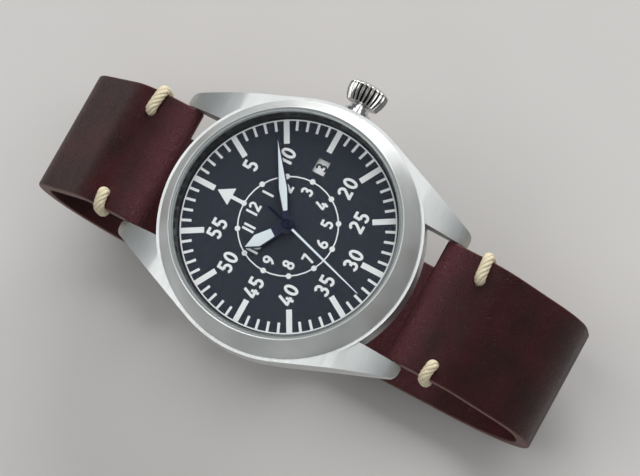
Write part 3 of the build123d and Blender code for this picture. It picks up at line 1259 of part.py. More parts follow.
def lug_fold():
    """The rolled end round the spring bar and the flap under the strap, on the 12 o'clock side."""
    roll = Pos(BAR_PLACE, BAR_HEIGHT) * Circle(FOLD_RADIUS)
    flap_low = BAR_HEIGHT - FOLD_RADIUS
    flap = Pos(BAR_PLACE + FLAP_LENGTH / 2, flap_low + FLAP / 2) * Rectangle(FLAP_LENGTH, FLAP)
    return roll + flap


TWELVE_MOVES = [
    (TWELVE_RUN, 0), (TWELVE_BEND, -TWELVE_SLOPE), (TWELVE_SLANT, 0), (TWELVE_SIDE_BEND, TWELVE_SLOPE - 90),
    (TWELVE_BOTTOM_BEND, -90),
]
SIX_SHOULDER = [(SIX_RUN, 0), (SIX_BEND, -SIX_SLOPE), (SIX_SLANT, 0), (SIX_SIDE_BEND, SIX_SLOPE - 90)]


def run_length(moves):
    """Length of a path of moves along its middle."""
    return sum(size * radians(abs(turn)) if turn else size for size, turn in moves)


TWELVE_FACE, (BOTTOM_Y, SHORT_MIDDLE), _ = ribbon((BAR_PLACE, TOP_MIDDLE), 0, TWELVE_MOVES, LEATHER)
BUCKLE_Y = BOTTOM_Y - (SHORT_LENGTH - run_length(TWELVE_MOVES))
SHORT_OUTER = SHORT_MIDDLE - LEATHER / 2
BUCKLE_Z = SHORT_OUTER + FOLD_RADIUS
LONG_OUTER = SHORT_OUTER - LEATHER
CROSSBAR_HIGH = LONG_OUTER - CROSSBAR_GAP
CROSSBAR_LOW = CROSSBAR_HIGH - CROSSBAR_THICKNESS
CROSSBAR_Y = BUCKLE_Y - BUCKLE_REACH
_, (_, SHOULDER_END), _ = ribbon((BAR_PLACE, TOP_MIDDLE), 0, SIX_SHOULDER, LEATHER)
SIX_DROP = SHOULDER_END - SIX_BOTTOM_BEND - (SHORT_MIDDLE - LEATHER)
SIX_MOVES = SIX_SHOULDER + [(SIX_DROP, 0), (SIX_BOTTOM_BEND, -90)]


def leather(face):
    return extrude(Plane.YZ * face, STRAP_WIDTH / 2, both=True)


def bar_hole(y, z, radius):
    half = STRAP_WIDTH / 2 + OVERRUN
    return Pos(-half, y, z) * Rot(0, 90, 0) * extrude(Circle(radius), 2 * half)


def lace_holes():
    low, high = BAR_HEIGHT - 2 * LEATHER, BAR_HEIGHT + 2 * LEATHER
    return [cylinder(LACE_HOLE_RADIUS, low, high, x, LACE_PLACE) for x in (-LACE_HOLE_LEFT, LACE_HOLE_RIGHT)]


def strap_upper():
    flat = BOTTOM_Y - BUCKLE_Y
    moves = TWELVE_MOVES + [(flat, 0)]
    face, _, _ = ribbon((BAR_PLACE, TOP_MIDDLE), 0, moves, LEATHER)
    face += lug_fold()
    face += Pos(BUCKLE_Y, BUCKLE_Z) * Circle(FOLD_RADIUS)
    flap_middle = SHORT_MIDDLE + (LEATHER + FLAP) / 2
    face += Pos(BUCKLE_Y + BUCKLE_FLAP / 2, flap_middle) * Rectangle(BUCKLE_FLAP, FLAP)
    body = leather(face) - bar_hole(BAR_PLACE, BAR_HEIGHT, BAR_RADIUS + CLEARANCE)
    body -= bar_hole(BUCKLE_Y, BUCKLE_Z, BUCKLE_BAR_RADIUS + CLEARANCE)
    half = TONGUE_SLOT_WIDTH / 2
    body -= block((-half, BUCKLE_Y - 2 * FOLD_RADIUS, SHORT_OUTER - OVERRUN),
                  (half, BUCKLE_Y + FOLD_RADIUS, SHORT_OUTER + 2 * FOLD_RADIUS + OVERRUN))
    for hole in lace_holes():
        body -= hole
    return body


def strap_lower():
    """The long half, from the 6 o'clock lugs round the loop and through the buckle."""
    _, (six_y, _), _ = ribbon((BAR_PLACE, TOP_MIDDLE), 0, SIX_MOVES, LEATHER)
    flat = six_y + BOTTOM_Y
    tail_radius = TWELVE_BOTTOM_BEND + LEATHER
    moves = SIX_MOVES + [(flat, 0), (tail_radius, -TAIL_TURN)]
    face, (tip_y, tip_z), _ = ribbon((BAR_PLACE, TOP_MIDDLE), 0, moves, LEATHER)
    face += lug_fold()
    body = leather(face) - bar_hole(BAR_PLACE, BAR_HEIGHT, BAR_RADIUS + CLEARANCE)
    for hole in lace_holes():
        body -= mirror(hole, Plane.YZ)
    body = Rot(0, 0, 180) * body
    length, width = HOLE_LENGTH, HOLE_WIDTH
    drill = Pos(0, 0, LONG_OUTER - OVERRUN) * extrude(SlotOverall(length, width, rotation=90), LEATHER + 2 * OVERRUN)
    middle = BUCKLE_Y - TONGUE_ELBOW / 2 - SLOT_MARGIN
    for step in range(-HOLES_EACH_WAY, HOLES_EACH_WAY + 1):
        body -= Pos(0, middle + step * HOLE_PITCH, 0) * drill
    half = STRAP_WIDTH / 2
    for side in (-1, 1):
        corner = [(side * half * 2, -tip_y), (side * half * 2, -tip_y - TAIL_TIP), (side * half, -tip_y - TAIL_TIP),
                  (0, -tip_y + OVERRUN), (0, -tip_y + 2 * OVERRUN), (side * half * 2, -tip_y + 2 * OVERRUN)]
        body -= plate(corner, LONG_OUTER - OVERRUN, tip_z + 2 * LEATHER)
    return body


def stitch(hole_x):
    strap_low = BAR_HEIGHT - FOLD_RADIUS - LACE_GAP
    strap_high = BAR_HEIGHT + FOLD_RADIUS + LACE_GAP
    near = hole_x + LACE_THICKNESS / 2
    far = STRAP_WIDTH / 2 + LACE_GAP
    outer = block((near - LACE_THICKNESS, LACE_PLACE - LACE_WIDTH / 2, strap_low - LACE_THICKNESS),
                  (far + LACE_THICKNESS, LACE_PLACE + LACE_WIDTH / 2, strap_high + LACE_THICKNESS))
    inner = block((near, LACE_PLACE - LACE_WIDTH, strap_low), (far, LACE_PLACE + LACE_WIDTH, strap_high))
    return fillet(outer.edges().filter_by(Axis.Y), LACE_THICKNESS / 3) - inner


def lacing():
    """Four stitches, each wrapped through its hole and over the strap's edge."""
    right, left = stitch(LACE_HOLE_RIGHT), mirror(stitch(LACE_HOLE_LEFT), Plane.YZ)
    return group([right, left, mirror(right, Plane.XZ), mirror(left, Plane.XZ)])


def bar_places():
    return [(0, side * BAR_PLACE, BAR_HEIGHT) for side in (1, -1)]


def spring_bar_tubes():
    """Two hollow bars, bored from each end for the sprung tips."""
    half = LUG_GAP / 2 - BAR_END_GAP
    body = Rot(0, 90, 0) * Pos(0, 0, -half) * extrude(Circle(BAR_RADIUS), 2 * half)
    deep = TIP_PISTON_PLACE - TIP_TRAVEL - CLEARANCE
    lip = TIP_PISTON_PLACE + TIP_PISTON_LENGTH
    bore = Rot(0, 90, 0) * Pos(0, 0, deep) * extrude(Circle(BAR_BORE), lip - deep)
    bore += Rot(0, 90, 0) * Pos(0, 0, lip - CLEARANCE) * extrude(Circle(TIP_RADIUS + CLEARANCE), half - lip + OVERRUN)
    body -= bore
    body -= mirror(bore, Plane.YZ)
    return group(Pos(*place) * body for place in bar_places())


def spring_bar_tip(side_x, side_y):
    start = TIP_PISTON_PLACE
    end = LUG_GAP / 2 + TIP_HOLE_DEPTH - TIP_END_GAP
    tip = extrude(Circle(TIP_PISTON), TIP_PISTON_LENGTH - CLEARANCE) + extrude(Circle(TIP_RADIUS), end - start)
    turn = 90 if side_x > 0 else -90
    return Pos(side_x * start, side_y * BAR_PLACE, BAR_HEIGHT) * Rot(0, turn, 0) * tip


# Buckle and keepers

def buckle_bar():
    half = BUCKLE_INNER / 2 + BUCKLE_ARM / 2
    return Pos(-half, BUCKLE_Y, BUCKLE_Z) * Rot(0, 90, 0) * extrude(Circle(BUCKLE_BAR_RADIUS), 2 * half)


def buckle_frame():
    """Two side arms from the bar to a crossbar on the strap's outer face."""
    inner = BUCKLE_INNER / 2
    outer = inner + BUCKLE_ARM
    eye = BUCKLE_BAR_EYE
    middle = (CROSSBAR_HIGH + CROSSBAR_LOW) / 2
    half = CROSSBAR_THICKNESS / 2
    side = make_hull([*(Pos(BUCKLE_Y, BUCKLE_Z) * Circle(eye)).edges(),
                      *(Pos(CROSSBAR_Y, middle) * Circle(half)).edges()])
    arm = Pos(inner, 0, 0) * extrude(Plane.YZ * side, BUCKLE_ARM)
    arm -= Pos(inner - OVERRUN, BUCKLE_Y, BUCKLE_Z) * Rot(0, 90, 0) * extrude(
        Circle(BUCKLE_BAR_RADIUS + CLEARANCE), OVERRUN + BUCKLE_ARM / 2 + CLEARANCE)
    rod = Pos(CROSSBAR_Y, middle) * SlotOverall(CROSSBAR_WIDTH, CROSSBAR_THICKNESS)
    crossbar = Pos(-outer, 0, 0) * extrude(Plane.YZ * rod, 2 * outer)
    notch = TONGUE_WIDTH / 2 + SLOT_MARGIN
    crossbar -= block((-notch, CROSSBAR_Y - CROSSBAR_WIDTH, CROSSBAR_LOW - OVERRUN),
                      (notch, CROSSBAR_Y + CROSSBAR_WIDTH, CROSSBAR_LOW + CROSSBAR_NOTCH))
    return arm + mirror(arm, Plane.YZ) + crossbar


def buckle_tongue():
    """Hooks round the bar, passes out through the strap's hole and rests in the crossbar's notch."""
    half = TONGUE_THICKNESS / 2
    seat = CROSSBAR_LOW + CROSSBAR_NOTCH - half - CLEARANCE
    elbow = BUCKLE_Y - TONGUE_ELBOW
    elbow_z = LONG_OUTER - half - CROSSBAR_GAP
    tip = CROSSBAR_Y - TONGUE_OVERHANG
    seat_start = CROSSBAR_Y + CROSSBAR_WIDTH / 2
    middle = [(BUCKLE_Y - BUCKLE_BAR_RADIUS - half, BUCKLE_Z), (elbow + half, elbow_z + half), (elbow - half, elbow_z - half),
              (seat_start, seat), (tip, seat)]
    blade_face = None
    for first, last in zip(middle, middle[1:]):
        piece = make_hull([*(Pos(*first) * Circle(half)).edges(), *(Pos(*last) * Circle(half)).edges()])
        blade_face = piece if blade_face is None else blade_face + piece
    blade_face += Pos(BUCKLE_Y, BUCKLE_Z) * Circle(TONGUE_EYE)
    blade_face -= Pos(BUCKLE_Y, BUCKLE_Z) * Circle(BUCKLE_BAR_RADIUS + CLEARANCE)
    return extrude(Plane.YZ * blade_face, TONGUE_WIDTH / 2, both=True)


def keeper(start, high, gap):
    """A leather loop round both layers of the strap."""
    low = LONG_OUTER - gap
    top = high + gap
    half = STRAP_WIDTH / 2 + gap
    middle = (low + top) / 2
    inner = Rectangle(2 * half, top - low)
    outer = RectangleRounded(2 * (half + KEEPER_THICKNESS), top - low + 2 * KEEPER_THICKNESS, KEEPER_THICKNESS)
    wall = extrude(Plane.XZ * (outer - inner), -KEEPER_WIDTH)
    return Pos(0, BUCKLE_Y + start, middle) * wall


def keeper_fixed():
    return keeper(FIXED_KEEPER_START, SHORT_MIDDLE + LEATHER / 2 + FLAP, KEEPER_GAP)


def keeper_free():
    return keeper(FREE_KEEPER_START, SHORT_MIDDLE + LEATHER / 2, FREE_KEEPER_GAP)


PIECES = {
    "mid_case": mid_case, "bezel": bezel, "crystal": crystal, "crystal_gasket": crystal_gasket,
    "rehaut_ring": rehaut_ring, "case_back": case_back, "case_back_gasket": case_back_gasket,
    "crown_tube": crown_tube, "crown": crown, "crown_gasket": crown_gasket, "winding_stem": winding_stem,
    "movement_holder": movement_holder, "casing_clamps": casing_clamps, "movement_screws": movement_screws,
    "main_plate": main_plate, "barrel_bridge": barrel_bridge, "train_bridge": train_bridge,
    "balance_cock": balance_cock, "jewels": jewels, "barrel_drum": barrel_drum, "barrel_arbor": barrel_arbor,
    "mainspring": mainspring, "ratchet_wheel": ratchet_wheel, "crown_wheel": crown_wheel, "click": click,
    "centre_wheel": centre_wheel, "third_wheel": third_wheel, "fourth_wheel": fourth_wheel,
    "escape_wheel": escape_wheel, "pallet_fork": pallet_fork, "balance_wheel": balance_wheel,
    "hairspring": hairspring, "winding_pinion": winding_pinion, "sliding_pinion": sliding_pinion,
    "setting_lever": setting_lever, "yoke": yoke, "cannon_pinion": cannon_pinion, "minute_wheel": minute_wheel,
    "hour_wheel": hour_wheel, "date_disc": date_disc, "dial": dial, "hour_hand": hour_hand,
    "minute_hand": minute_hand, "seconds_hand": seconds_hand, "rotor": rotor, "rotor_bearing": rotor_bearing,
    "reversing_wheel": reversing_wheel, "strap_upper": strap_upper, "strap_lower": strap_lower, "lacing": lacing,
    "spring_bar_tubes": spring_bar_tubes, "buckle_bar": buckle_bar, "buckle_frame": buckle_frame,
    "buckle_tongue": buckle_tongue, "keeper_fixed": keeper_fixed, "keeper_free": keeper_free,
    "spring_bar_tip_a": lambda: spring_bar_tip(1, 1), "spring_bar_tip_b": lambda: spring_bar_tip(-1, 1),
    "spring_bar_tip_c": lambda: spring_bar_tip(1, -1), "spring_bar_tip_d": lambda: spring_bar_tip(-1, -1),
}

os.makedirs("parts", exist_ok=True)
for name, make in PIECES.items():
    export_step(make(), f"parts/{name}.step")
    print(name)
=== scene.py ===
"""Looks of the pilot watch: brushed and polished steel, a black numbered dial under a clear
crystal, blued hands with pale fills, and an oxblood leather strap laced with waxed cord.

Lengths are written in millimetres, in the frame of the CAD part, and turned to metres by MM.
"""

from contextlib import contextmanager
from math import cos, hypot, pi, radians, sin

import bmesh
import bpy
from mathutils import Matrix, Vector


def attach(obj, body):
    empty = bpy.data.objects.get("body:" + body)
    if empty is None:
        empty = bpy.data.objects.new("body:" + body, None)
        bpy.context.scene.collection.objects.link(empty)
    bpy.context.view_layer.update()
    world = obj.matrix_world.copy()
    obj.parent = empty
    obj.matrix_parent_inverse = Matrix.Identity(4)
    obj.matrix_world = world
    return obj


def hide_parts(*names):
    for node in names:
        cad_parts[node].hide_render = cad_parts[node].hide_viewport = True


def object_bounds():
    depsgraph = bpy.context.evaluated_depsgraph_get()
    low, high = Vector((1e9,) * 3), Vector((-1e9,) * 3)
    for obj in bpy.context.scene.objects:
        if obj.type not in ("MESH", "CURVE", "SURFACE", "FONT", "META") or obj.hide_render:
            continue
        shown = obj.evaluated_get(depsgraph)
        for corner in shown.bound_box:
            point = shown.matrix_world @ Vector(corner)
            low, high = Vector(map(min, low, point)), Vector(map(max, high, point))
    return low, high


MM = 0.001
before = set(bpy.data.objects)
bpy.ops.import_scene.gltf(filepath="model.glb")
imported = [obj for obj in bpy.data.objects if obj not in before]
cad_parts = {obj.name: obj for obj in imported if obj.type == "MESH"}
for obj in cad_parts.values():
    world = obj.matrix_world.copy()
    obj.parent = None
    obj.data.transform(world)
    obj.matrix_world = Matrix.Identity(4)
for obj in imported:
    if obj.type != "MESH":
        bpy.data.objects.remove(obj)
cad_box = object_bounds()

# Heights and places that the CAD part gives
STEM_HEIGHT = 3.7
DIAL_HIGH = 7.2
CRYSTAL_LOW = 9.1
CRYSTAL_HIGH = 10.2
CRYSTAL_RADIUS = 17.0
BEZEL_BORE = 17.3
BEZEL_TOP = 9.9
BEZEL_RADIUS = 19.5
COLLAR_RADIUS = 17.6
SEAM = 5.5
LEDGE_RADIUS = 16.85
LEDGE_LOW = 8.6
DATE_HIGH = 6.53
DATE_PLACE = 10.08
DATE_COUNT = 31
HOUR_ANGLE = 304.5
MINUTE_ANGLE = 54.8
SECONDS_ANGLE = 196.5
HOUR_HIGH = 8.05
MINUTE_HIGH = 8.43
SECONDS_LOW = 8.62
BAR_PLACE = 22.7
BAR_HEIGHT = 1.5
LEATHER = 2.2
FLAP = 1.1
FOLD_RADIUS = (LEATHER + FLAP) / 2
STRAP_HALF = 9.85
TOP_MIDDLE = BAR_HEIGHT + FOLD_RADIUS - LEATHER / 2
TWELVE_MOVES = [(3.8, 0), (7.9, -50), (11.3, 0), (11.0, -40), (13.5, -90)]
SIX_SHOULDER = [(4.8, 0), (7.9, -42), (8.0, 0), (11.1, -48)]
SIX_BOTTOM_BEND = 14.9
SHORT_LENGTH = 75.0
TAIL_TURN = 30
STRAP_TOP = BAR_HEIGHT + FOLD_RADIUS
STRAP_UNDERSIDE = BAR_HEIGHT - FOLD_RADIUS
TWELVE_FLAP_END = (30.0, 29.0)
SIX_FLAP_END = (31.0, 29.5)
LACE_PLACE = 28.2
LACE_HOLES_X = (-7.5, 6.3)
BUCKLE_FLAP = 12.0
TONGUE_SLOT_HALF = 1.25
TONGUE_ELBOW = 3.4
STRAP_HOLE_PITCH = 7.0
STRAP_HOLE_LENGTH = 4.3
STRAP_HOLE_WIDTH = 2.6
STRAP_HOLES_EACH_WAY = 3
CROWN_START = 19.1
CROWN_END = 24.9

# Finer forms, which only this scene draws
STEEL_ROUND = 0.08
FLUTES = 24
FLUTE_DEPTH = 0.36
FLUTES_ROOT = 1.9
FLUTES_START = 21.5
FLUTES_END = 24.45
FLUTES_FADE = 0.35
SLOPE_START = 21.55
SLOPE_LENGTH = 2.05
SLOPE_RADIUS = 2.5
SLOPE_GROWTH = 0.65
SLOPE_STEPS = 12
LACE_HOLE_RADIUS = 0.8
LEATHER_ROUND = 0.32
LEATHER_STEP = 0.8
ROLL_REACH = 5.0
ROLL_FALL = 0.45
TAIL_NARROWING = 8.5
TAIL_BELOW = -20
CUT_OVERRUN = 3


def placed(name, data):
    """A new object in the scene."""
    obj = bpy.data.objects.new(name, data)
    bpy.context.collection.objects.link(obj)
    return obj


# Camera: the photograph's own place and direction, seen from above the 6 and 9 o'clock side

SENSOR_WIDTH = 36
FOCAL_LENGTH = 168.75
NEAR_CLIP = 0.01
CAMERA_RIGHT = (0.4827, -0.8656, -0.1334)
CAMERA_UP = (0.8672, 0.4512, 0.2106)
CAMERA_PLACE = (-53.02, -100.59, 425.56 + DIAL_HIGH)


def make_camera():
    """A long lens over the dial. Its directions and its place are solved from the photograph."""
    camera = bpy.data.cameras.new("camera")
    camera.sensor_width = SENSOR_WIDTH
    camera.lens = FOCAL_LENGTH
    camera.clip_start = NEAR_CLIP
    obj = placed("camera", camera)
    right, up = Vector(CAMERA_RIGHT), Vector(CAMERA_UP)
    back = right.cross(up).normalized()
    turn = Matrix((right, up, back)).transposed().to_4x4()
    obj.matrix_world = Matrix.Translation(Vector(CAMERA_PLACE) * MM) @ turn
    bpy.context.scene.camera = obj


make_camera()
bpy.context.scene.view_settings.view_transform = "Standard"


# Materials

def colour(text):
    """An sRGB hex colour as linear red, green, blue and alpha."""
    values = [int(text[start:start + 2], 16) / 255 for start in (1, 3, 5)]
    return [v / 12.92 if v <= 0.04045 else ((v + 0.055) / 1.055) ** 2.4 for v in values] + [1]


def link(tree, source, target):
    """Links a socket, or a node's first output, to an input."""
    tree.links.new(source.outputs[0] if isinstance(source, bpy.types.Node) else source, target)


def add(tree, kind, settings):
    """Adds a node: a setting is one of its properties, an input's value, or what is linked to the input."""
    node = tree.nodes.new(kind)
    for name, value in settings.items():
        if isinstance(name, str) and name not in node.inputs:
            setattr(node, name, value)
        elif isinstance(value, (bpy.types.Node, bpy.types.NodeSocket)):
            link(tree, value, node.inputs[name])
        else:
            node.inputs[name].default_value = value
    return node


def material(name, settings):
    """A material with one Principled shader, and the tree to add a pattern to."""
    made = bpy.data.materials.new(name)
    made.use_nodes = True
    tree = made.node_tree
    tree.nodes.clear()
    shader = add(tree, "ShaderNodeBsdfPrincipled", settings)
    add(tree, "ShaderNodeOutputMaterial", {"Surface": shader})
    return made, tree, shader


def place(tree, scale=(1, 1, 1)):
    """Object coordinates in millimetres, stretched by scale."""
    coordinate = add(tree, "ShaderNodeTexCoord", {})
    return add(tree, "ShaderNodeMapping", {"Vector": coordinate.outputs["Object"],
                                           "Scale": [s / MM for s in scale]})


def polar(tree, scale):
    """Distance from the dial's axis, way round it and height, in millimetres, for a turned finish."""
    xyz = add(tree, "ShaderNodeSeparateXYZ", {0: place(tree)}).outputs
    angle = add(tree, "ShaderNodeMath", {"operation": "ARCTAN2", 0: xyz[1], 1: xyz[0]})
    flat = add(tree, "ShaderNodeCombineXYZ", {0: xyz[0], 1: xyz[1]})
    reach = add(tree, "ShaderNodeVectorMath", {"operation": "LENGTH", 0: flat}).outputs["Value"]
    both = add(tree, "ShaderNodeCombineXYZ", {0: reach, 1: angle, 2: xyz[2]})
    return add(tree, "ShaderNodeMapping", {"Vector": both, "Scale": scale})


def grain(tree, scale, detail=3.0, crispness=0.55, turned_finish=False):
    """Random grain, with as many spots to the millimetre as scale says, in all or along X, Y and Z.
    On a turned finish it runs round the dial's axis, and scale is outwards, round and along it."""
    scale = scale if isinstance(scale, tuple) else (scale,) * 3
    where = polar(tree, scale) if turned_finish else place(tree, scale)
    return add(tree, "ShaderNodeTexNoise", {"Vector": where, "Scale": 1.0, "Detail": detail,
                                            "Roughness": crispness})


def between(tree, pattern, first, second, start=0.3, end=0.7, share=1):
    """Goes from first to second, or share of the way, as a pattern goes from start to end.
    Both are numbers, or both are colours: a hex colour, or a socket that holds one."""
    numbers = isinstance(first, (int, float))
    low, high = (first, second) if numbers else (0, share)
    way = add(tree, "ShaderNodeMapRange", {"Value": pattern, "From Min": start, "From Max": end,
                                           "To Min": low, "To Max": high})
    if numbers:
        return way
    first, second = [colour(shade) if isinstance(shade, str) else shade for shade in (first, second)]
    return add(tree, "ShaderNodeMix", {"data_type": "RGBA", "Factor": way, 6: first, 7: second}).outputs[2]


def finished(tree, shader, shade, gloss, relief, strength, depth):
    """Links a finish's colour, roughness and relief to its shader; the relief's depth is in millimetres."""
    normal = add(tree, "ShaderNodeBump", {"Height": relief, "Strength": strength, "Distance": depth * MM})
    for label, pattern in (("Base Color", shade), ("Roughness", gloss), ("Normal", normal)):
        if pattern:
            link(tree, pattern, shader.inputs[label])


def brushed_steel(name, scale, turned_finish, base="#c9cbc9", rough=(0.26, 0.4), strength=0.12):
    """Stainless steel with a satin finish: fine lines 0.05 to 0.1 mm apart, drawn twice as coarse to show.
    A turned finish spreads its gloss across the lines, as grooves cut round a lathe do."""
    made, tree, shader = material(name, {"Metallic": 1.0, "Base Color": colour(base)})
    if turned_finish:
        shader.inputs["Anisotropic"].default_value = 0.85
        shader.inputs["Anisotropic Rotation"].default_value = 0.25
        lathe = add(tree, "ShaderNodeTangent", {"direction_type": "RADIAL", "axis": "Z"})
        link(tree, lathe, shader.inputs["Tangent"])
    lines = grain(tree, scale, 4.0, 0.6, turned_finish)
    broad = grain(tree, 0.12, 2.0)
    finished(tree, shader, between(tree, broad, base, "#b9bbb8", share=0.5), between(tree, lines, *rough),
             lines, strength, 0.02)
    return made


def polished_steel(name, base, rough):
    """Stainless steel polished on a wheel: mirror bright, with faint wiping marks."""
    made, tree, shader = material(name, {"Metallic": 1.0, "Base Color": colour(base)})
    marks = grain(tree, 0.6, 4.0)
    gloss = between(tree, marks, rough, rough + 0.09)
    finished(tree, shader, None, gloss, grain(tree, 6), 0.04, 0.01)
    return made


def crown_steel(name, ridge, groove):
    """Polished crown: bright ridges, with the flutes between them darkened by painted shade."""
    made, tree, shader = material(name, {"Metallic": 1.0, "Roughness": 0.2})
    xyz = add(tree, "ShaderNodeSeparateXYZ", {0: place(tree)}).outputs
    level = add(tree, "ShaderNodeMath", {"operation": "SUBTRACT", 0: xyz[2], 1: STEM_HEIGHT})
    angle = add(tree, "ShaderNodeMath", {"operation": "ARCTAN2", 0: level, 1: xyz[1]})
    turns = add(tree, "ShaderNodeMath", {"operation": "MULTIPLY", 0: angle, 1: FLUTES})
    wave = add(tree, "ShaderNodeMath", {"operation": "COSINE", 0: turns})
    # Painted shade: the flutes take the dark groove colour, which stands in for the shade in their hollows
    flute_shade = between(tree, wave, 0, 1, 0.0, 0.6)
    for limit in (between(tree, xyz[0], 1, 0, FLUTES_END - 0.45, FLUTES_END - 0.15),
                  between(tree, xyz[0], 0, 1, FLUTES_START, FLUTES_START + 0.2)):
        flute_shade = add(tree, "ShaderNodeMath", {"operation": "MULTIPLY", 0: flute_shade, 1: limit})
    finished(tree, shader, between(tree, flute_shade, ridge, groove, 0, 1), None, grain(tree, 6), 0.04, 0.01)
    return made


def plated(name, first, second, rough=0.28, stripes=0.0):
    """Gilt brass or plated steel inside the case, grained at about 0.2 mm, with broad stripes on bridges."""
    made, tree, shader = material(name, {"Metallic": 1.0, "Base Color": colour(first)})
    fine = grain(tree, (0.7 if stripes else 5, 5, 5))
    if stripes:
        wave = add(tree, "ShaderNodeTexWave", {"bands_direction": "X", "Vector": place(tree),
                                               "Scale": stripes, "Distortion": 0.0}).outputs[1]
        shade = between(tree, wave, first, second, 0, 1)
    else:
        shade = between(tree, fine, first, second)
    finished(tree, shader, shade, between(tree, fine, rough - 0.06, rough + 0.12), fine, 0.08, 0.02)
    return made


def painted(name, first, second, rough=0.5, per_mm=8.0, strength=0.08, more=None):
    """Lacquer or print on metal, with a fine tooth of about 0.12 mm."""
    made, tree, shader = material(name, {"Base Color": colour(first), "Roughness": rough, **(more or {})})
    tooth = grain(tree, per_mm)
    finished(tree, shader, between(tree, tooth, first, second), None, tooth, strength, 0.01)
    return made


def leather(name, first, second, edge):
    """Oil-pulled leather: smooth grain of about 0.3 mm, soft cloudy colour and burnished raw edges."""
    made, tree, shader = material(name, {"Roughness": 0.42, "Specular IOR Level": 0.2, "Coat Weight": 0.03,
                                         "Coat Roughness": 0.3})
    where = place(tree)
    cloud = grain(tree, 0.16, 4.0, 0.6)
    fibre = grain(tree, 2.2, 5.0, 0.65)
    cells = add(tree, "ShaderNodeTexVoronoi", {"feature": "DISTANCE_TO_EDGE", "Vector": where, "Scale": 3.1})
    axes = add(tree, "ShaderNodeSeparateXYZ", {0: where}).outputs
    across, along = [add(tree, "ShaderNodeMath", {"operation": "ABSOLUTE", 0: axis}) for axis in axes[:2]]
    # The folds by the lugs are painted paler as a sheen, rubbed glossier and creased, up to five times the
    # plain skin
    folded = between(tree, along, 5, 0, BAR_PLACE + 0.5, BAR_PLACE + 4)
    shade = between(tree, cloud, first, second)
    shade = between(tree, fibre, shade, second, share=0.35)
    # Painted sheen: the folds are mixed towards a pale mauve that stands in for their highlight
    shade = between(tree, folded, shade, "#5f3137", 0.5, 5, 0.55)
    shade = between(tree, across, shade, edge, STRAP_HALF - 0.22, STRAP_HALF - 0.03)
    dry, pores = between(tree, fibre, 0.36, 0.52), between(tree, cells, 0, 1, 0.0, 0.12)
    gloss = add(tree, "ShaderNodeMath", {"operation": "MULTIPLY_ADD", 0: folded, 1: -0.024, 2: dry})
    surface = add(tree, "ShaderNodeMath", {"operation": "MULTIPLY_ADD", 0: fibre, 1: 0.8, 2: pores})
    creases = grain(tree, (0.9, 1.9, 1.9), 3.0, 0.6)
    relief = add(tree, "ShaderNodeMath", {"operation": "MULTIPLY_ADD", 0: creases, 1: folded, 2: surface})
    finished(tree, shader, shade, gloss, relief, 0.8, 0.08)
    return made


def waxed_cord(name):
    """Waxed linen cord: six cream plies of fine fibres, drawn about 0.1 mm across and longer than wide."""
    made, tree, shader = material(name, {"Roughness": 0.62, "Sheen Weight": 0.15})
    fibres = grain(tree, (3, 9, 3), 4.0, 0.7)
    finished(tree, shader, between(tree, fibres, "#efe6cc", "#c9b98f"), None, fibres, 0.3, 0.04)
    return made


def sapphire(name, tint, alpha, rough):
    """Sapphire: see-through with a faint coated gloss on its face, ground and cloudy on its rim, where its
    pale colour is also a painted highlight.
    """
    made, _, _ = material(name, {"Base Color": colour(tint), "Alpha": alpha, "Roughness": rough, "IOR": 1.5})
    return made


def seconds_finish(name):
    """Seconds hand: white lacquer on the pointer, blued steel on the hub and the tail."""
    made, tree, shader = material(name, {"Roughness": 0.3})
    angle = radians(90 - SECONDS_ANGLE)
    along = add(tree, "ShaderNodeVectorMath", {"operation": "DOT_PRODUCT", 0: place(tree),
                                               1: (cos(angle), sin(angle), 0)}).outputs["Value"]
    link(tree, between(tree, along, "#060a1e", "#e8f3fa", 1.15, 1.25), shader.inputs["Base Color"])
    link(tree, between(tree, along, 0.9, 0, 1.15, 1.25), shader.inputs["Metallic"])
    return made


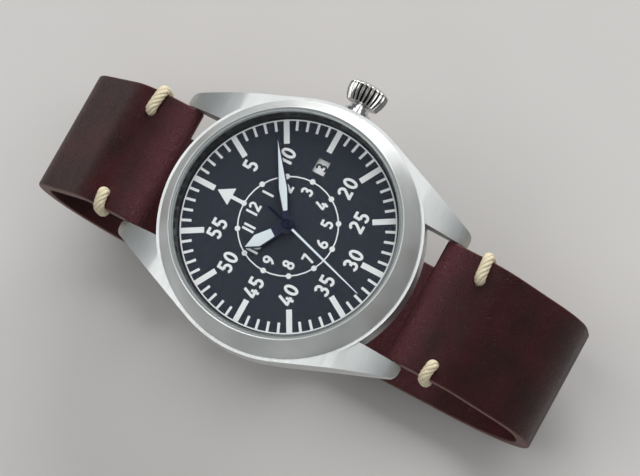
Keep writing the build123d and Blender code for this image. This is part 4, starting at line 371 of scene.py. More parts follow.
LOOKS = {
    "bezel_satin": brushed_steel("bezel_satin_steel", (9, 0.7, 9), True, "#e2e5e4", (0.4, 0.5)),
    "case_satin": brushed_steel("case_satin_steel", (0.35, 7, 7), False, "#d8dbda", (0.4, 0.52), 0.09),
    "back_satin": brushed_steel("case_back_satin_steel", (8, 0.6, 8), True),
    "polished": polished_steel("polished_steel", "#cfd0d0", 0.09),
    # The crown's dark second colour is painted shade in its flutes
    "crown": crown_steel("crown_polished_steel", "#d0cfcb", "#1c1c1b"),
    "bridge": plated("bridge_rhodium_plate", "#b9bdc2", "#d3d6da", 0.26, 0.35),
    "steel_part": plated("tempered_steel", "#9da1a8", "#b9bcc2"),
    "gilt": plated("gilt_brass", "#caa24e", "#b98d3c"),
    "blued_spring": plated("blued_spring_steel", "#27345f", "#3b4a7c"),
    "ruby": painted("synthetic_ruby", "#a30c24", "#8a0a1f", 0.12, 3.0, 0.02, {"Transmission Weight": 0.3}),
    "gasket": painted("nitrile_rubber", "#151515", "#1d1d1d", 0.7, 10.0, 0.1),
    "crystal_gasket": painted("clear_gasket", "#8d9292", "#9ba0a0", 0.35, 8.0, 0.03),
    "holder": painted("acetal_movement_holder", "#c9c8c2", "#bdbcb6", 0.45, 5.0, 0.06),
    "dial": painted("matte_black_dial_lacquer", "#252b36", "#2c333f", 0.6, 9.0, 0.12,
                    {"Specular IOR Level": 0.2}),
    "rehaut": painted("black_rehaut_lacquer", "#0d1013", "#14181c", 0.3, 6.0, 0.03,
                      {"Specular IOR Level": 0.35}),
    "print": painted("luminous_white_print", "#fcfdfd", "#f0f5f5", 0.55, 8.0, 0.1),
    "lume": painted("luminous_hand_fill", "#eff8fb", "#dfeef2", 0.6, 7.0, 0.14),
    "blued": painted("blued_steel_hand", "#040920", "#070e2c", 0.2, 4.0, 0.02, {"Metallic": 0.7}),
    "date": painted("white_date_disc", "#fbfdff", "#f3f7fa", 0.5, 9.0, 0.05),
    "date_ink": painted("black_date_ink", "#101112", "#17191a", 0.45, 9.0, 0.05),
    "seconds": seconds_finish("lacquered_seconds_hand"),
    "leather": leather("oxblood_strap_leather", "#441214", "#260a0b", "#6b4032"),
    "keeper_leather": leather("oxblood_keeper_leather", "#381315", "#260c0e", "#33100f"),
    "cord": waxed_cord("waxed_linen_cord"),
    "crystal": sapphire("sapphire_face", "#0b0d10", 0.03, 0.03),
    # The rim's pale, half opaque colour is partly ground glass and partly a painted highlight
    "crystal_edge": sapphire("sapphire_ground_edge_painted_glint", "#cfd8d8", 0.3, 0.12),
}

# The CAD nodes that are shown as they are, by their look
LOOK_NODES = {
    "crystal_gasket": ["crystal_gasket"],
    "rehaut": ["rehaut_ring"],
    "gasket": ["case_back_gasket", "crown_gasket"],
    "holder": ["movement_holder"],
    "dial": ["dial"],
    "date": ["date_disc"],
    "blued": ["hour_hand", "minute_hand"],
    "seconds": ["seconds_hand"],
    "ruby": ["jewels"],
    "bridge": ["barrel_bridge", "train_bridge", "balance_cock", "rotor"],
    "blued_spring": ["movement_screws", "mainspring", "hairspring"],
    "gilt": ["main_plate", "barrel_drum", "centre_wheel", "third_wheel", "fourth_wheel", "balance_wheel",
             "minute_wheel", "hour_wheel", "reversing_wheel"],
    "steel_part": ["winding_stem", "casing_clamps", "barrel_arbor", "ratchet_wheel", "crown_wheel", "click",
                   "escape_wheel", "pallet_fork", "winding_pinion", "sliding_pinion", "setting_lever", "yoke",
                   "cannon_pinion", "rotor_bearing"],
    "polished": ["crown_tube", "spring_bar_tubes", "buckle_bar", "spring_bar_tip_a", "spring_bar_tip_b",
                 "spring_bar_tip_c", "spring_bar_tip_d"],
}
for look, node_names in LOOK_NODES.items():
    for node_name in node_names:
        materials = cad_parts[node_name].data.materials
        materials.clear()
        materials.append(LOOKS[look])


# Making meshes

def finish_piece(obj, body, nodes=(), smooth=35):
    """Shades a finished piece, hides the CAD nodes it stands for and gives it its body."""
    obj.data.shade_smooth()
    obj.data.set_sharp_from_angle(angle=radians(smooth))
    if nodes:
        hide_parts(*nodes)
    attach(obj, body)


@contextmanager
def edited(mesh):
    """Opens a mesh to be worked on, and puts the work back into it."""
    work = bmesh.new()
    work.from_mesh(mesh)
    yield work
    work.to_mesh(mesh)
    work.free()
    mesh.update()


def mesh_object(name, points, faces, look, merge=0.0005):
    """A mesh from points in millimetres, with doubles merged and every face turned outwards."""
    mesh = bpy.data.meshes.new(name)
    mesh.from_pydata([Vector(p) * MM for p in points], [], faces)
    mesh.materials.append(LOOKS[look])
    with edited(mesh) as work:
        bmesh.ops.remove_doubles(work, verts=work.verts, dist=merge * MM)
        bmesh.ops.recalc_face_normals(work, faces=work.faces)
    return placed(name, mesh)


def applied(obj):
    """Turns an object's modifiers into its plain mesh."""
    graph = bpy.context.evaluated_depsgraph_get()
    mesh = bpy.data.meshes.new_from_object(obj.evaluated_get(graph), depsgraph=graph)
    obj.modifiers.clear()
    if obj.type == "MESH":
        obj.data = mesh
        return obj
    made = placed(obj.name + "_mesh", mesh)
    bpy.data.objects.remove(obj)
    return made


def skin(rings, count, joined=False):
    """Faces along rings of count points, closed by two end faces or joined from last to first."""
    faces = []
    for ring in range(rings if joined else rings - 1):
        ahead = (ring + 1) % rings
        for index in range(count):
            other = (index + 1) % count
            faces.append((ring * count + index, ring * count + other,
                          ahead * count + other, ahead * count + index))
    if not joined:
        faces += [tuple(range(count)), tuple(range((rings - 1) * count, rings * count))[::-1]]
    return faces


def softened(points, radius, steps=3):
    """Rounds the corners of a closed outline with short curves."""
    made = []
    for index, here in enumerate(points):
        before, after = Vector(points[index - 1]), Vector(points[(index + 1) % len(points)])
        here = Vector(here)
        into, out = before - here, after - here
        size = min(radius, 0.45 * into.length, 0.45 * out.length)
        start, end = here + into.normalized() * size, here + out.normalized() * size
        for step in range(steps + 1):
            share = step / steps
            made.append(tuple(start * (1 - share) ** 2 + here * 2 * share * (1 - share) + end * share ** 2))
    return made


def turned(name, profile, look, segments=180, axis="Z", ripple=None):
    """A solid turned from a closed (radius, height) outline, about Z or about the stem's line."""
    points = []
    for step in range(segments):
        angle = 2 * pi * step / segments
        for radius, height in profile:
            reach = radius if ripple is None else ripple(radius, height, angle)
            across, up = reach * cos(angle), reach * sin(angle)
            points.append((across, up, height) if axis == "Z" else (height, across, up + STEM_HEIGHT))
    return mesh_object(name, points, skin(segments, len(profile), True), look)


def dressed(node, look, edge, body, smooth=35):
    """A copy of a CAD node with its edges eased, which stands for the node."""
    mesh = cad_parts[node].data.copy()
    mesh.materials.clear()
    mesh.materials.append(LOOKS[look])
    with edited(mesh) as work:
        bmesh.ops.remove_doubles(work, verts=work.verts, dist=0.002 * MM)
        bmesh.ops.dissolve_limit(work, angle_limit=radians(1.5), verts=work.verts, edges=work.edges)
        sharp = [e for e in work.edges if len(e.link_faces) == 2 and e.calc_face_angle(0) > radians(32)]
        bmesh.ops.bevel(work, geom=sharp, offset=edge * MM, segments=2, profile=0.6, affect="EDGES",
                        clamp_overlap=True)
        bmesh.ops.triangulate(work, faces=[f for f in work.faces if len(f.verts) > 4])
        bmesh.ops.recalc_face_normals(work, faces=work.faces)
    finish_piece(placed(node + "_finished", mesh), body, (node,), smooth)


# Case

def make_case():
    """The bezel, the mid case, the case back and the crystal."""
    outline = softened([
        (LEDGE_RADIUS, LEDGE_LOW), (LEDGE_RADIUS, CRYSTAL_LOW), (BEZEL_BORE, CRYSTAL_LOW),
        (BEZEL_BORE, BEZEL_TOP), (BEZEL_BORE + 0.2, BEZEL_TOP), (BEZEL_RADIUS, SEAM + 0.4),
        (BEZEL_RADIUS, SEAM), (COLLAR_RADIUS, SEAM), (COLLAR_RADIUS, LEDGE_LOW),
    ], STEEL_ROUND)
    finish_piece(turned("bezel_finished", outline, "bezel_satin", 256), "watch", ("bezel",), 50)
    dressed("mid_case", "case_satin", 0.05, "watch", 13)
    dressed("case_back", "back_satin", STEEL_ROUND, "watch", 13)
    clear_radius = CRYSTAL_RADIUS - 0.3
    face = [(0.01, CRYSTAL_LOW), (clear_radius, CRYSTAL_LOW),
            (clear_radius, CRYSTAL_HIGH), (0.01, CRYSTAL_HIGH)]
    finish_piece(turned("crystal_face", face, "crystal", 128), "watch", ("crystal",))
    # The ground rim's pale colour also carries a painted highlight
    rim = softened([
        (CRYSTAL_RADIUS - 0.28, CRYSTAL_LOW), (CRYSTAL_RADIUS, CRYSTAL_LOW),
        (CRYSTAL_RADIUS, CRYSTAL_HIGH - 0.25), (CRYSTAL_RADIUS - 0.27, CRYSTAL_HIGH),
        (CRYSTAL_RADIUS - 0.28, CRYSTAL_HIGH - 0.01),
    ], 0.02)
    finish_piece(turned("crystal_ground_rim_painted_glint", rim, "crystal_edge", 192), "watch")


def fluted(radius, height, angle):
    """Pulls the crown's slope in between its ridges, less and less towards the rim."""
    if radius < FLUTES_ROOT or height > FLUTES_END or height < FLUTES_START:
        return radius
    depth = FLUTE_DEPTH * min(1.0, (FLUTES_END - height) / FLUTES_FADE)
    wave = 0.5 + 0.5 * cos(FLUTES * angle)
    return radius - depth * wave ** 0.75


def make_crown():
    """The crown, turned round the stem: its hollow neck, its rounded slope and its slightly domed face."""
    slope = [(SLOPE_RADIUS + SLOPE_GROWTH * sin(pi / 2 * step / SLOPE_STEPS),
              SLOPE_START + SLOPE_LENGTH * step / SLOPE_STEPS) for step in range(SLOPE_STEPS + 1)]
    neck = [(0.55, CROWN_START), (1.1, CROWN_START), (1.1, 19.7), (1.1, 21.5)]
    back = [(1.2, SLOPE_START), (2.0, SLOPE_START)]
    rim = [(3.15, 23.8), (3.15, 24.0), (3.1, 24.15), (2.95, 24.27), (2.75, 24.4), (2.4, 24.62)]
    face = [(2.25, 24.67), (1.5, 24.78), (0.7, 24.87), (0.01, CROWN_END)]
    outline = neck + back + slope + rim + face + [(0.01, 21.6), (0.55, 21.6)]
    crown = turned("crown_fluted", outline, "crown", FLUTES * 12, "X", fluted)
    finish_piece(crown, "crown_and_stem", ("crown",), 40)


# Printed marks: each stroke is a thin raised layer

class Print:
    """Collects flat strokes and makes them one thin layer."""

    def __init__(self):
        self.points, self.faces = [], []

    def strip(self, left, right, closed=False):
        """A band between two rows of points."""
        start = len(self.points)
        count = len(left)
        for a, b in zip(left, right):
            self.points += [a, b]
        for step in range(count if closed else count - 1):
            here, ahead = start + 2 * step, start + 2 * ((step + 1) % count)
            self.faces.append((here, here + 1, ahead + 1, ahead))

    def stroke(self, path, width, place_point, closed=False):
        """A line of even width along a path, with mitred bends."""
        left, right = [], []
        count = len(path)
        for index, (x, y) in enumerate(path):
            before = path[index - 1] if index or closed else path[index]
            after = path[(index + 1) % count] if index < count - 1 or closed else path[index]
            along = Vector((after[0] - before[0], after[1] - before[1])).normalized()
            half = width / 2
            left.append(place_point(x - along.y * half, y + along.x * half))
            right.append(place_point(x + along.y * half, y - along.x * half))
        self.strip(left, right, closed)

    def laid(self, name, low, thickness, look, body, slot):
        """Finishes all the strokes as one piece, from low upwards."""
        obj = mesh_object(name, [(x, y, low) for x, y in self.points], self.faces, look)
        for face in obj.data.polygons:
            if face.normal.z < 0:
                face.flip()
        shell = obj.modifiers.new("thickness", "SOLIDIFY")
        shell.thickness = thickness * MM
        shell.offset = 1
        finish_piece(applied(obj), body)


def arc(x, y, wide, high, first, last, steps=16):
    """Points on an ellipse round x, y, from the first to the last angle in degrees."""
    turns = [radians(first + (last - first) * step / steps) for step in range(steps + 1)]
    return [(x + wide * cos(turn), y + high * sin(turn)) for turn in turns]


def loop(x, y, wide, high, steps=36):
    """A whole ellipse round x, y, without its last point."""
    return arc(x, y, wide, high, 0, 360, steps)[:-1]


# Plain digits on a unit height, each a list of (line, is it closed); their stroke is 0.18 wide
DIGITS = {
    "0": [(loop(0.3, 0.5, 0.21, 0.41), True)],
    "1": [([(0.11, 0), (0.11, 1)], False)],
    "2": [(arc(0.3, 0.69, 0.2, 0.22, 165, -35) + [(0.13, 0.13)], False),
          ([(0.02, 0.09), (0.56, 0.09)], False)],
    "3": [(arc(0.28, 0.7, 0.19, 0.21, 150, -100), False), (arc(0.28, 0.3, 0.22, 0.21, 95, -150), False)],
    "4": [([(0.36, 1.0), (0.08, 0.3)], False), ([(0.01, 0.27), (0.6, 0.27)], False),
          ([(0.43, 0), (0.43, 0.55)], False)],
    "5": [([(0.08, 0.91), (0.52, 0.91)], False), ([(0.15, 0.97), (0.12, 0.5)], False),
          (arc(0.29, 0.32, 0.22, 0.23, 135, -145), False)],
    "6": [(loop(0.3, 0.3, 0.21, 0.21), True), (arc(0.56, 0.28, 0.47, 0.66, 105, 180), False)],
    "7": [([(0.03, 0.91), (0.56, 0.91)], False), ([(0.49, 0.9), (0.19, 0)], False)],
    "8": [(loop(0.3, 0.71, 0.175, 0.2), True), (loop(0.3, 0.3, 0.215, 0.21), True)],
    "9": [(loop(0.3, 0.7, 0.21, 0.21), True), (arc(0.04, 0.72, 0.47, 0.66, -75, 0), False)],
}
DIGIT_WIDTH = 0.6
ONE_WIDTH = 0.22
DIGIT_GAP = 0.12


def write_number(prints, text, centre, height, stroke, turn=0):
    """Lays a number's strokes round its centre; strokes of one digit go to different prints in turn."""
    widths = [ONE_WIDTH if digit == "1" else DIGIT_WIDTH for digit in text]
    total = sum(widths) + DIGIT_GAP * (len(text) - 1)
    start = -total / 2
    for digit, width in zip(text, widths):
        for index, (path, closed) in enumerate(DIGITS[digit]):
            def place_point(x, y):
                across, up = rotated(x * height, y * height, turn)
                return centre[0] + across, centre[1] + up
            moved = [(x + start, y - 0.5) for x, y in path]
            prints[index % len(prints)].stroke(moved, stroke / height, place_point, closed)
        start += width + DIGIT_GAP


# The minute numbers by their centres, and the height and stroke of the dial's and the disc's numbers
OUTER_NUMBERS = {
    "5": (5.43, 9.42), "10": (9.28, 5.3), "20": (9.05, -5.1), "25": (5.33, -9.08), "30": (0, -11.07),
    "35": (-5.28, -9.14), "40": (-8.96, -5.1), "45": (-10.35, 0), "50": (-8.84, 5.25), "55": (-5.13, 9.2),
}
OUTER_SIZE = (2.3, 0.43)
INNER_SIZE = (1.88, 0.36)
DATE_SIZE = (1.8, 0.31)
INNER_REACH = 5.8
HOUR_RING = 7.5
MINUTE_RING = 16.05
RING_WIDTH = 0.2
PRINT_THICKNESS = 0.03
DATE_INK_THICKNESS = 0.02
OVERPRINT = 0.004


def rotated(x, y, turn):
    """A point turned round the centre, in radians."""
    return x * cos(turn) - y * sin(turn), x * sin(turn) + y * cos(turn)


def clock(distance, angle):
    """A point at a distance from the centre, with its angle in degrees from 12 o'clock."""
    return distance * sin(radians(angle)), distance * cos(radians(angle))


def geometry_tree(name, **inputs):
    """Geometry Nodes that make a shape from inputs of the named kinds, and what each input is called by."""
    tree = bpy.data.node_groups.new(name, "GeometryNodeTree")
    tree.interface.new_socket("Shape", in_out="OUTPUT", socket_type="NodeSocketGeometry")
    sockets = {}
    for label, kind in inputs.items():
        socket = tree.interface.new_socket(label, in_out="INPUT", socket_type="NodeSocket" + kind)
        sockets[label] = socket.identifier
    return tree, sockets, tree.nodes.new("NodeGroupInput").outputs


def shaped(obj, tree, sockets, **values):
    """What a Geometry Nodes tree makes of an object, as a plain mesh."""
    modifier = obj.modifiers.new("shape", "NODES")
    modifier.node_group = tree
    for label, value in values.items():
        modifier[sockets[label]] = value
    return applied(obj)


def marks_tree():
    """Geometry Nodes that set bars, or dots, evenly round a circle and facing its centre."""
    tree, sockets, given = geometry_tree("marks_round_dial", Count="Int", Reach="Float", Length="Float",
                                         Width="Float", Height="Float", Round="Bool")
    circle = add(tree, "GeometryNodeMeshCircle", {"Vertices": given["Count"], "Radius": given["Reach"]})
    size = add(tree, "ShaderNodeCombineXYZ", {0: given["Length"], 1: given["Width"], 2: given["Height"]})
    bar = add(tree, "GeometryNodeMeshCube", {"Size": size})
    half = add(tree, "ShaderNodeMath", {"operation": "MULTIPLY", 0: given["Width"], 1: 0.5})
    dot = add(tree, "GeometryNodeMeshCylinder", {"Vertices": 24, "Radius": half, "Depth": given["Height"]})
    mark = add(tree, "GeometryNodeSwitch", {"input_type": "GEOMETRY", "Switch": given["Round"],
                                            "False": bar, "True": dot})
    outward = add(tree, "GeometryNodeInputPosition", {})
    facing = add(tree, "FunctionNodeAlignRotationToVector", {"axis": "X", "Vector": outward})
    spots = add(tree, "GeometryNodeInstanceOnPoints", {
        "Points": circle, "Instance": mark, "Rotation": facing})
    real = add(tree, "GeometryNodeRealizeInstances", {0: spots})
    coloured = add(tree, "GeometryNodeSetMaterial", {"Geometry": real, "Material": LOOKS["print"]})
    add(tree, "NodeGroupOutput", {0: coloured})
    return tree, sockets


def make_marks(name, tree, sockets, height, **sizes):
    """One set of marks on the dial, sized in millimetres."""
    values = {label: value if label in ("Count", "Round") else value * MM for label, value in sizes.items()}
    made = shaped(mesh_object(name, [], [], "print"), tree, sockets, Height=height * MM, **values)
    made.data.transform(Matrix.Translation((0, 0, (DIAL_HIGH + height / 2) * MM)))
    finish_piece(made, "watch")


def make_dial_print():
    """Minute marks, bars and dots, the two rings, the numbers, and the arrow at 12 o'clock."""
    tree, sockets = marks_tree()
    make_marks("minute_marks", tree, sockets, 0.028, Count=60, Reach=15.25, Length=1.62, Width=0.4)
    make_marks("five_minute_bars", tree, sockets, 0.036, Count=12, Reach=14.27, Length=3.58, Width=0.86)
    make_marks("hour_dots", tree, sockets, 0.036, Count=12, Reach=HOUR_RING, Width=0.84, Round=True)
    rings, low_print, high_print = Print(), Print(), Print()
    for reach, steps in ((MINUTE_RING, 180), (HOUR_RING, 36)):
        rings.stroke(loop(0, 0, reach, reach, steps), RING_WIDTH, lambda x, y: (x, y), True)
    for text, spot in OUTER_NUMBERS.items():
        write_number([low_print, high_print, rings], text, spot, *OUTER_SIZE)
    for hour in range(1, 13):
        write_number([low_print, high_print, rings], str(hour), clock(INNER_REACH, 30 * hour), *INNER_SIZE)
    arrow_head, arrow_stem = [(-1.41, 9.6), (1.41, 9.6)], [(-0.28, 7.6), (0.28, 7.6)]
    low_print.strip(arrow_head, [(-0.02, 12.0), (0.02, 12.0)])
    high_print.strip(arrow_stem, [(-0.28, 9.7), (0.28, 9.7)])
    for name, layer, rise in (("dial_rings", rings, 0.0), ("dial_numbers", low_print, OVERPRINT),
                              ("dial_number_bars", high_print, 2 * OVERPRINT)):
        layer.laid(name, DIAL_HIGH, PRINT_THICKNESS + rise, "print", "watch", "hand_white")


def make_date():
    """Numbers 1 to 31 round the date disc, with 3 in the window."""
    ink, ink_over = Print(), Print()
    for day in range(1, DATE_COUNT + 1):
        angle = 2 * pi * (day - 3) / DATE_COUNT
        spot = (DATE_PLACE * cos(angle), DATE_PLACE * sin(angle))
        write_number([ink, ink_over], str(day), spot, *DATE_SIZE, angle)
    for name, layer, rise in (("date_numbers", ink, 0.0), ("date_number_bars", ink_over, OVERPRINT)):
        layer.laid(name, DATE_HIGH, DATE_INK_THICKNESS + rise, "date_ink", "date_disc", "dial_black")


# Hands: the CAD hands keep their frames, and their windows are filled

# Half width and distance from the centre at each bend of a fill, and its section across as side and rise
HOUR_FILL = [(0.66, 2.4), (0.94, 4.98), (0.0, 6.98)]
MINUTE_FILL = [(0.32, 2.1), (0.59, 5.4), (0.0, 12.9)]
FILL_SECTION = [(-1, 0.0), (-0.55, 0.03), (0, 0.045), (0.55, 0.03), (1, 0.0), (1, -0.13), (-1, -0.13)]
FILL_STEPS = 8
FILL_DROP = 0.01


def make_fill(name, outline, high, angle, body):
    """The pale fill of a hand's window, slightly crowned along its middle."""
    rows = []
    for (half, start), (next_half, end) in zip(outline, outline[1:]):
        for step in range(FILL_STEPS + (end == outline[-1][1])):
            share = step / FILL_STEPS
            rows.append((half + (next_half - half) * share, start + (end - start) * share))
    points = []
    turn = radians(-angle)
    for half, distance in rows:
        half = max(half, 0.01)
        for side, rise in FILL_SECTION:
            points.append((*rotated(side * half, distance, turn), high - FILL_DROP + rise))
    obj = mesh_object(name, points, skin(len(rows), len(FILL_SECTION)), "lume")
    finish_piece(obj, body, (), 50)


def make_hub(name, profile, body):
    """A small turned piece on the hands' shared axis."""
    finish_piece(turned(name, softened(profile, 0.05), "blued", 64), body)


def make_hands():
    """The fills of the hour and minute hands, and the hub that their middle shows."""
    make_fill("hour_hand_fill", HOUR_FILL, HOUR_HIGH, HOUR_ANGLE, "hours")
    make_fill("minute_hand_fill", MINUTE_FILL, MINUTE_HIGH, MINUTE_ANGLE, "minutes")
    low, collar_high = SECONDS_LOW + 0.15, MINUTE_HIGH + 0.08
    make_hub("seconds_hand_cap", [(0.01, low), (0.5, low), (0.42, low + 0.1), (0.25, low + 0.13),
                                  (0.01, low + 0.13)], "seconds")
    make_hub("minute_hand_collar", [(0.5, MINUTE_HIGH), (0.98, MINUTE_HIGH), (0.9, collar_high),
                                    (0.5, collar_high)], "minutes")


# Strap

def path_side(start, heading, moves, offset, step_degrees=3):
    """Points along one side of a strip of leather seen from the side, and where its middle ends.
    A move is a length with no turn, or a radius and its turn in degrees."""
    y, z = start
    angle = radians(heading)
    points = []
    for size, turn in moves:
        if turn == 0:
            points += [(y - offset * sin(angle), z + offset * cos(angle))]
            y, z = y + size * cos(angle), z + size * sin(angle)
            continue
        way = 1 if turn > 0 else -1
        centre_y, centre_z = y - way * size * sin(angle), z + way * size * cos(angle)
        steps = max(2, int(abs(turn) / step_degrees))
        for step in range(steps + 1):
            here = angle + radians(turn) * step / steps
            reach = size - way * offset
            points.append((centre_y + way * reach * sin(here), centre_z - way * reach * cos(here)))
        angle += radians(turn)
        y, z = centre_y + way * size * sin(angle), centre_z - way * size * cos(angle)
    points.append((y - offset * sin(angle), z + offset * cos(angle)))
    return points, (y, z)


def cleaned(points, gap=0.02):
    """Leaves out points that lie on the one before them."""
    made = []
    for point in points:
        if not made or hypot(point[0] - made[-1][0], point[1] - made[-1][1]) > gap:
            made.append(point)
    return made


def subdivided(points, longest):
    """Adds points along the straight runs, so that the leather can bend and take its pattern."""
    made = []
    for here, ahead in zip(points, points[1:] + points[:1]):
        length = hypot(ahead[0] - here[0], ahead[1] - here[1])
        parts = max(1, int(length / longest))
        for part in range(parts):
            share = part / parts
            made.append((here[0] + (ahead[0] - here[0]) * share, here[1] + (ahead[1] - here[1]) * share))
    return made


def leather_body(name, outline, half, edge, look, taper=None):
    """Leather from its side outline: straight across, with rounded long edges."""
    count = len(outline)
    area = sum(a[0] * b[1] - b[0] * a[1] for a, b in zip(outline, outline[1:] + outline[:1]))
    way = 1 if area > 0 else -1
    normals = []
    for index in range(count):
        before, after = outline[index - 1], outline[(index + 1) % count]
        along = Vector((after[0] - before[0], after[1] - before[1])).normalized()
        normals.append((along.y * way, -along.x * way))
    layers = []
    for step in range(5):
        angle = pi / 2 * step / 4
        layers.append((half - edge * (1 - sin(angle)), edge * (1 - cos(angle))))
    layers = [(-x, inset) for x, inset in layers[::-1]] + [(-half / 3, 0), (half / 3, 0)] + layers
    layers = sorted(set((round(x, 4), round(inset, 4)) for x, inset in layers))
    points = []
    for x, inset in layers:
        for (y, z), (ny, nz) in zip(outline, normals):
            across = x if taper is None else x * taper(y, z)
            points.append((across, y - ny * inset, z - nz * inset))
    obj = mesh_object(name, points, skin(len(layers), count), look, 0.0001)
    with edited(obj.data) as work:
        bmesh.ops.triangulate(work, faces=[f for f in work.faces if len(f.verts) > 4])
    return obj


def pierced(obj, cutters):
    """Cuts holes through a piece of leather."""
    cutter = placed("punch", bpy.data.meshes.new("punch"))
    with edited(cutter.data) as work:
        for outline, low, high in cutters:
            bottom = [work.verts.new(Vector((x, y, low)) * MM) for x, y in outline]
            top = [work.verts.new(Vector((x, y, high)) * MM) for x, y in outline]
            for index in range(len(outline)):
                work.faces.new((bottom[index - 1], bottom[index], top[index], top[index - 1]))
            work.faces.new(bottom[::-1])
            work.faces.new(top)
        bmesh.ops.recalc_face_normals(work, faces=work.faces)
    cut = obj.modifiers.new("holes", "BOOLEAN")
    cut.operation = "DIFFERENCE"
    cut.solver = "EXACT"
    cut.object = cutter
    obj = applied(obj)
    bpy.data.objects.remove(cutter)
    return obj


def round_hole(x, y, radius, low, high):
    """The outline of a punched hole, with the heights that the punch goes between."""
    return loop(x, y, radius, radius), low, high


def long_hole(y, length, width, low, high):
    """The outline of a long buckle hole on the strap's middle, with the punch's heights."""
    half, run = width / 2, (length - width) / 2
    return arc(0, y + run, half, half, 0, 180, 12) + arc(0, y - run, half, half, 180, 360, 12), low, high


def fold(place, height):
    """The rolled end round a bar, from its underside round the nose to its top."""
    return arc(place, height, FOLD_RADIUS, FOLD_RADIUS, 270, 90, 14)


def lace_holes(side):
    """The two round holes that a strap half's stitches go through."""
    low, high = STRAP_UNDERSIDE - CUT_OVERRUN, STRAP_TOP + CUT_OVERRUN
    return [round_hole(x, side * LACE_PLACE, LACE_HOLE_RADIUS, low, high) for x in LACE_HOLES_X]


def rolled(outline):
    """Lets the top of the leather fall away a little before its fold, as it does round a bar."""
    made = []
    for y, z in outline:
        share = (abs(y) - (BAR_PLACE - FOLD_RADIUS)) / ROLL_REACH
        fall = ROLL_FALL * (1 - share) ** 2 if 0 <= share < 1 and z > BAR_HEIGHT + 0.5 else 0
        made.append((y, z - fall))
    return made


def make_strap():
    """Both strap halves from their side views: bar, fall beside the case, bottom run, buckle and tail."""
    half = LEATHER / 2
    start = (BAR_PLACE, TOP_MIDDLE)
    bar_fold = fold(BAR_PLACE, BAR_HEIGHT)
    below_flap = STRAP_UNDERSIDE - 0.1
    outer, (bottom_y, short_middle) = path_side(start, 0, TWELVE_MOVES, half)
    inner, _ = path_side(start, 0, TWELVE_MOVES, -half)
    inner = [point for point in inner if point[1] < below_flap]
    run = sum(size * radians(abs(turn)) if turn else size for size, turn in TWELVE_MOVES)
    buckle_y = bottom_y - (SHORT_LENGTH - run)
    buckle_fold = fold(buckle_y, short_middle - half + FOLD_RADIUS)
    flap_end = [(buckle_y + BUCKLE_FLAP - 0.8, short_middle + half + FLAP),
                (buckle_y + BUCKLE_FLAP, short_middle + half + 0.05)]
    bar_flap_end = [(y, STRAP_UNDERSIDE) for y in TWELVE_FLAP_END]
    outline = bar_fold + outer + buckle_fold + flap_end + inner[::-1] + bar_flap_end
    outline = rolled(subdivided(cleaned(outline), LEATHER_STEP))
    upper = leather_body("strap_short_half", outline, STRAP_HALF, LEATHER_ROUND, "leather")
    slot = [(-TONGUE_SLOT_HALF, buckle_y - TONGUE_ELBOW), (TONGUE_SLOT_HALF, buckle_y - TONGUE_ELBOW),
            (TONGUE_SLOT_HALF, buckle_y + FOLD_RADIUS), (-TONGUE_SLOT_HALF, buckle_y + FOLD_RADIUS)]
    tongue_slot = (slot, short_middle - CUT_OVERRUN, short_middle + CUT_OVERRUN)
    upper = pierced(upper, lace_holes(1) + [tongue_slot])
    finish_piece(upper, "watch", ("strap_upper",), 40)

    _, (_, shoulder_end) = path_side(start, 0, SIX_SHOULDER, 0)
    drop = shoulder_end - SIX_BOTTOM_BEND - (short_middle - LEATHER)
    moves = SIX_SHOULDER + [(drop, 0), (SIX_BOTTOM_BEND, -90)]
    _, (six_y, long_middle) = path_side(start, 0, moves, 0)
    moves += [(six_y + bottom_y, 0), (TWELVE_MOVES[-1][0] + LEATHER, -TAIL_TURN)]
    outer, (tip_y, _) = path_side(start, 0, moves, half)
    inner, _ = path_side(start, 0, moves, -half)
    first_low = next(index for index, point in enumerate(inner) if point[1] < below_flap)
    bar_flap_end = [(y, STRAP_UNDERSIDE) for y in SIX_FLAP_END]
    outline = bar_fold + outer + inner[first_low:][::-1] + bar_flap_end
    outline = [(-y, z) for y, z in rolled(subdivided(cleaned(outline), LEATHER_STEP))]
    tail_start = -tip_y - TAIL_NARROWING

    def taper(y, z):
        """Narrows the tail to a rounded point."""
        if z > TAIL_BELOW or y < tail_start:
            return 1.0
        share = min(1.0, (y - tail_start) / (TAIL_NARROWING + 0.6))
        return max(0.12, (1 - share ** 1.8) ** 0.62)

    lower = leather_body("strap_long_half", outline, STRAP_HALF, LEATHER_ROUND, "leather", taper)
    middle = buckle_y - TONGUE_ELBOW / 2 - 0.3
    low, high = long_middle - CUT_OVERRUN, long_middle + CUT_OVERRUN
    holes = [long_hole(middle + STRAP_HOLE_PITCH * step, STRAP_HOLE_LENGTH, STRAP_HOLE_WIDTH, low, high)
             for step in range(-STRAP_HOLES_EACH_WAY, STRAP_HOLES_EACH_WAY + 1)]
    lower = pierced(lower, lace_holes(-1) + holes)
    finish_piece(lower, "watch", ("strap_lower",), 40)


# Lacing: six plies wind round each stitch's path, PLY_REACH from it, three turns to a stitch

PLIES = 6
PLY_REACH = 0.52
PLY_RADIUS = 0.34
CORD_TURNS = -3.0
CORD_LEAN = 0.35
CORD_ABOVE = 0.62
CORD_BELOW = 0.55
CORD_ASIDE = 0.25


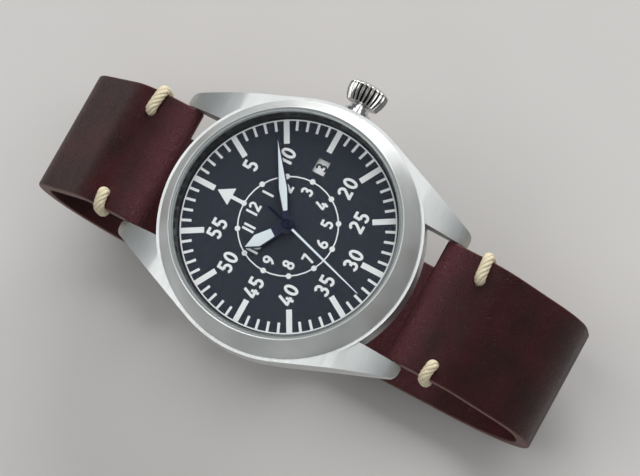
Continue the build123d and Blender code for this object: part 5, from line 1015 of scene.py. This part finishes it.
def cord_tree():
    """Geometry Nodes that twist six plies round a closed path."""
    tree, sockets, given = geometry_tree("twisted_cord", Path="Geometry", Turns="Float", Reach="Float",
                                         Radius="Float")
    smooth = add(tree, "GeometryNodeResampleCurve", {"Curve": given["Path"], "Count": 120})
    factor = add(tree, "GeometryNodeSplineParameter", {}).outputs["Factor"]
    normal = add(tree, "GeometryNodeInputNormal", {})
    tangent = add(tree, "GeometryNodeInputTangent", {})
    side = add(tree, "ShaderNodeVectorMath", {"operation": "CROSS_PRODUCT", 0: normal, 1: tangent})
    turns = add(tree, "ShaderNodeMath", {"operation": "MULTIPLY", 0: factor, 1: given["Turns"]})
    profile = add(tree, "GeometryNodeCurvePrimitiveCircle", {"Resolution": 12, "Radius": given["Radius"]})
    join = tree.nodes.new("GeometryNodeJoinGeometry")
    for ply in range(PLIES):
        shifted = add(tree, "ShaderNodeMath", {"operation": "ADD", 0: turns, 1: ply / PLIES})
        angle = add(tree, "ShaderNodeMath", {"operation": "MULTIPLY", 0: shifted, 1: 2 * pi})
        moves = []
        for operation, direction in (("COSINE", normal), ("SINE", side)):
            size = add(tree, "ShaderNodeMath", {"operation": operation, 0: angle})
            reach = add(tree, "ShaderNodeMath", {"operation": "MULTIPLY", 0: size, 1: given["Reach"]})
            moves.append(add(tree, "ShaderNodeVectorMath", {
                "operation": "SCALE", 0: direction, "Scale": reach}))
        offset = add(tree, "ShaderNodeVectorMath", {"operation": "ADD", 0: moves[0], 1: moves[1]})
        strand = add(tree, "GeometryNodeSetPosition", {"Geometry": smooth, "Offset": offset})
        swept = add(tree, "GeometryNodeCurveToMesh", {"Curve": strand, "Profile Curve": profile})
        link(tree, swept, join.inputs[0])
    real = add(tree, "GeometryNodeRealizeInstances", {0: join})
    coloured = add(tree, "GeometryNodeSetMaterial", {"Geometry": real, "Material": LOOKS["cord"]})
    add(tree, "NodeGroupOutput", {0: coloured})
    return tree, sockets


def make_lacing():
    """Four stitches: out of a hole, over the strap's edge and back underneath."""
    tree, sockets = cord_tree()
    parts = []
    for side in (-1, 1):
        strap_fall = 0.16 if side > 0 else 0.05
        high, low = STRAP_TOP + CORD_ABOVE - strap_fall, STRAP_UNDERSIDE - CORD_BELOW
        for hole in LACE_HOLES_X:
            way = 1 if hole > 0 else -1
            near, far = abs(hole) + CORD_ASIDE, STRAP_HALF + CORD_ASIDE
            third = (far - near) / 3
            ring = [(near, high - 0.8), (near + 0.1, high + 0.1), (near + third, high + 0.12),
                    (far - 0.7 * third, high + 0.05), (far, high - 0.35), (far + 0.02, (high + low) / 2),
                    (far, low + 0.35), (far - 0.7 * third, low), (near + third, low), (near + 0.1, low),
                    (near, low + 0.8)]
            curve = bpy.data.curves.new("stitch", "CURVE")
            curve.dimensions = "3D"
            spline = curve.splines.new("NURBS")
            spline.points.add(len(ring) - 1)
            for point, (x, z) in zip(spline.points, ring):
                lean = CORD_LEAN * (x - near) / (far - near)
                point.co = (way * x * MM, side * (LACE_PLACE - lean) * MM, z * MM, 1)
            spline.use_cyclic_u = True
            spline.order_u = 3
            parts.append(shaped(placed("stitch", curve), tree, sockets, Turns=CORD_TURNS,
                                Reach=PLY_REACH * MM, Radius=PLY_RADIUS * MM))
    points, faces = [], []
    for part in parts:
        start = len(points)
        points += [v.co / MM for v in part.data.vertices]
        faces += [tuple(start + index for index in face.vertices) for face in part.data.polygons]
        bpy.data.objects.remove(part)
    lacing = mesh_object("lacing_twisted_cord", points, faces, "cord", 0.0001)
    finish_piece(lacing, "watch", ("lacing",), 60)


def make_buckle():
    """The frame, the tongue and both keepers, with their edges eased."""
    dressed("buckle_frame", "polished", 0.2, "buckle")
    dressed("buckle_tongue", "polished", 0.15, "tongue")
    dressed("keeper_fixed", "keeper_leather", 0.22, "watch")
    dressed("keeper_free", "keeper_leather", 0.22, "keeper")


# Studio, in metres: the paper's half width, and each lamp's name, place, width and power in watts

FLOOR_REACH = 3.0
LAMPS = (
    ("window_light", (0.8, 0.12, 0.38), 0.7, 7.8),
    ("top_fill", (-0.05, 0.2, 0.72), 0.5, 1.7),
    ("near_fill", (0.12, -0.32, 0.73), 0.3, 0.6),
    ("low_fill", (-0.5, -0.3, 0.3), 0.5, 0.3),
)


def make_studio():
    """Pale paper under the watch, a window on its crown side, and soft fills above and opposite."""
    low = cad_box[0][2]
    paper, tree, shader = material("pale_studio_paper", {"Roughness": 0.9, "Specular IOR Level": 0.1})
    tone = grain(tree, 0.02, 2.0)
    link(tree, between(tree, tone, "#d6d3d0", "#d2cfcc"), shader.inputs["Base Color"])
    plane = bpy.data.meshes.new("studio_floor")
    corners = [(x, y, low) for x, y in ((-1, -1), (1, -1), (1, 1), (-1, 1))]
    plane.from_pydata([(x * FLOOR_REACH, y * FLOOR_REACH, z) for x, y, z in corners], [], [(0, 1, 2, 3)])
    plane.materials.append(paper)
    floor = placed("studio_floor", plane)
    world = bpy.data.worlds.new("studio")
    bpy.context.scene.world = world
    world.use_nodes = True
    sky = world.node_tree.nodes["Background"].inputs
    sky["Color"].default_value = colour("#dfe3e8")
    sky["Strength"].default_value = 0.25
    for name, spot, size, power in LAMPS:
        light = bpy.data.lights.new(name, "AREA")
        light.size = size
        light.energy = power
        lamp = placed(name, light)
        lamp.location = spot
        lamp.rotation_euler = Vector(spot).to_track_quat("Z", "Y").to_euler()


make_case()
make_crown()
make_dial_print()
make_date()
make_hands()
make_strap()
make_lacing()
make_buckle()
make_studio()
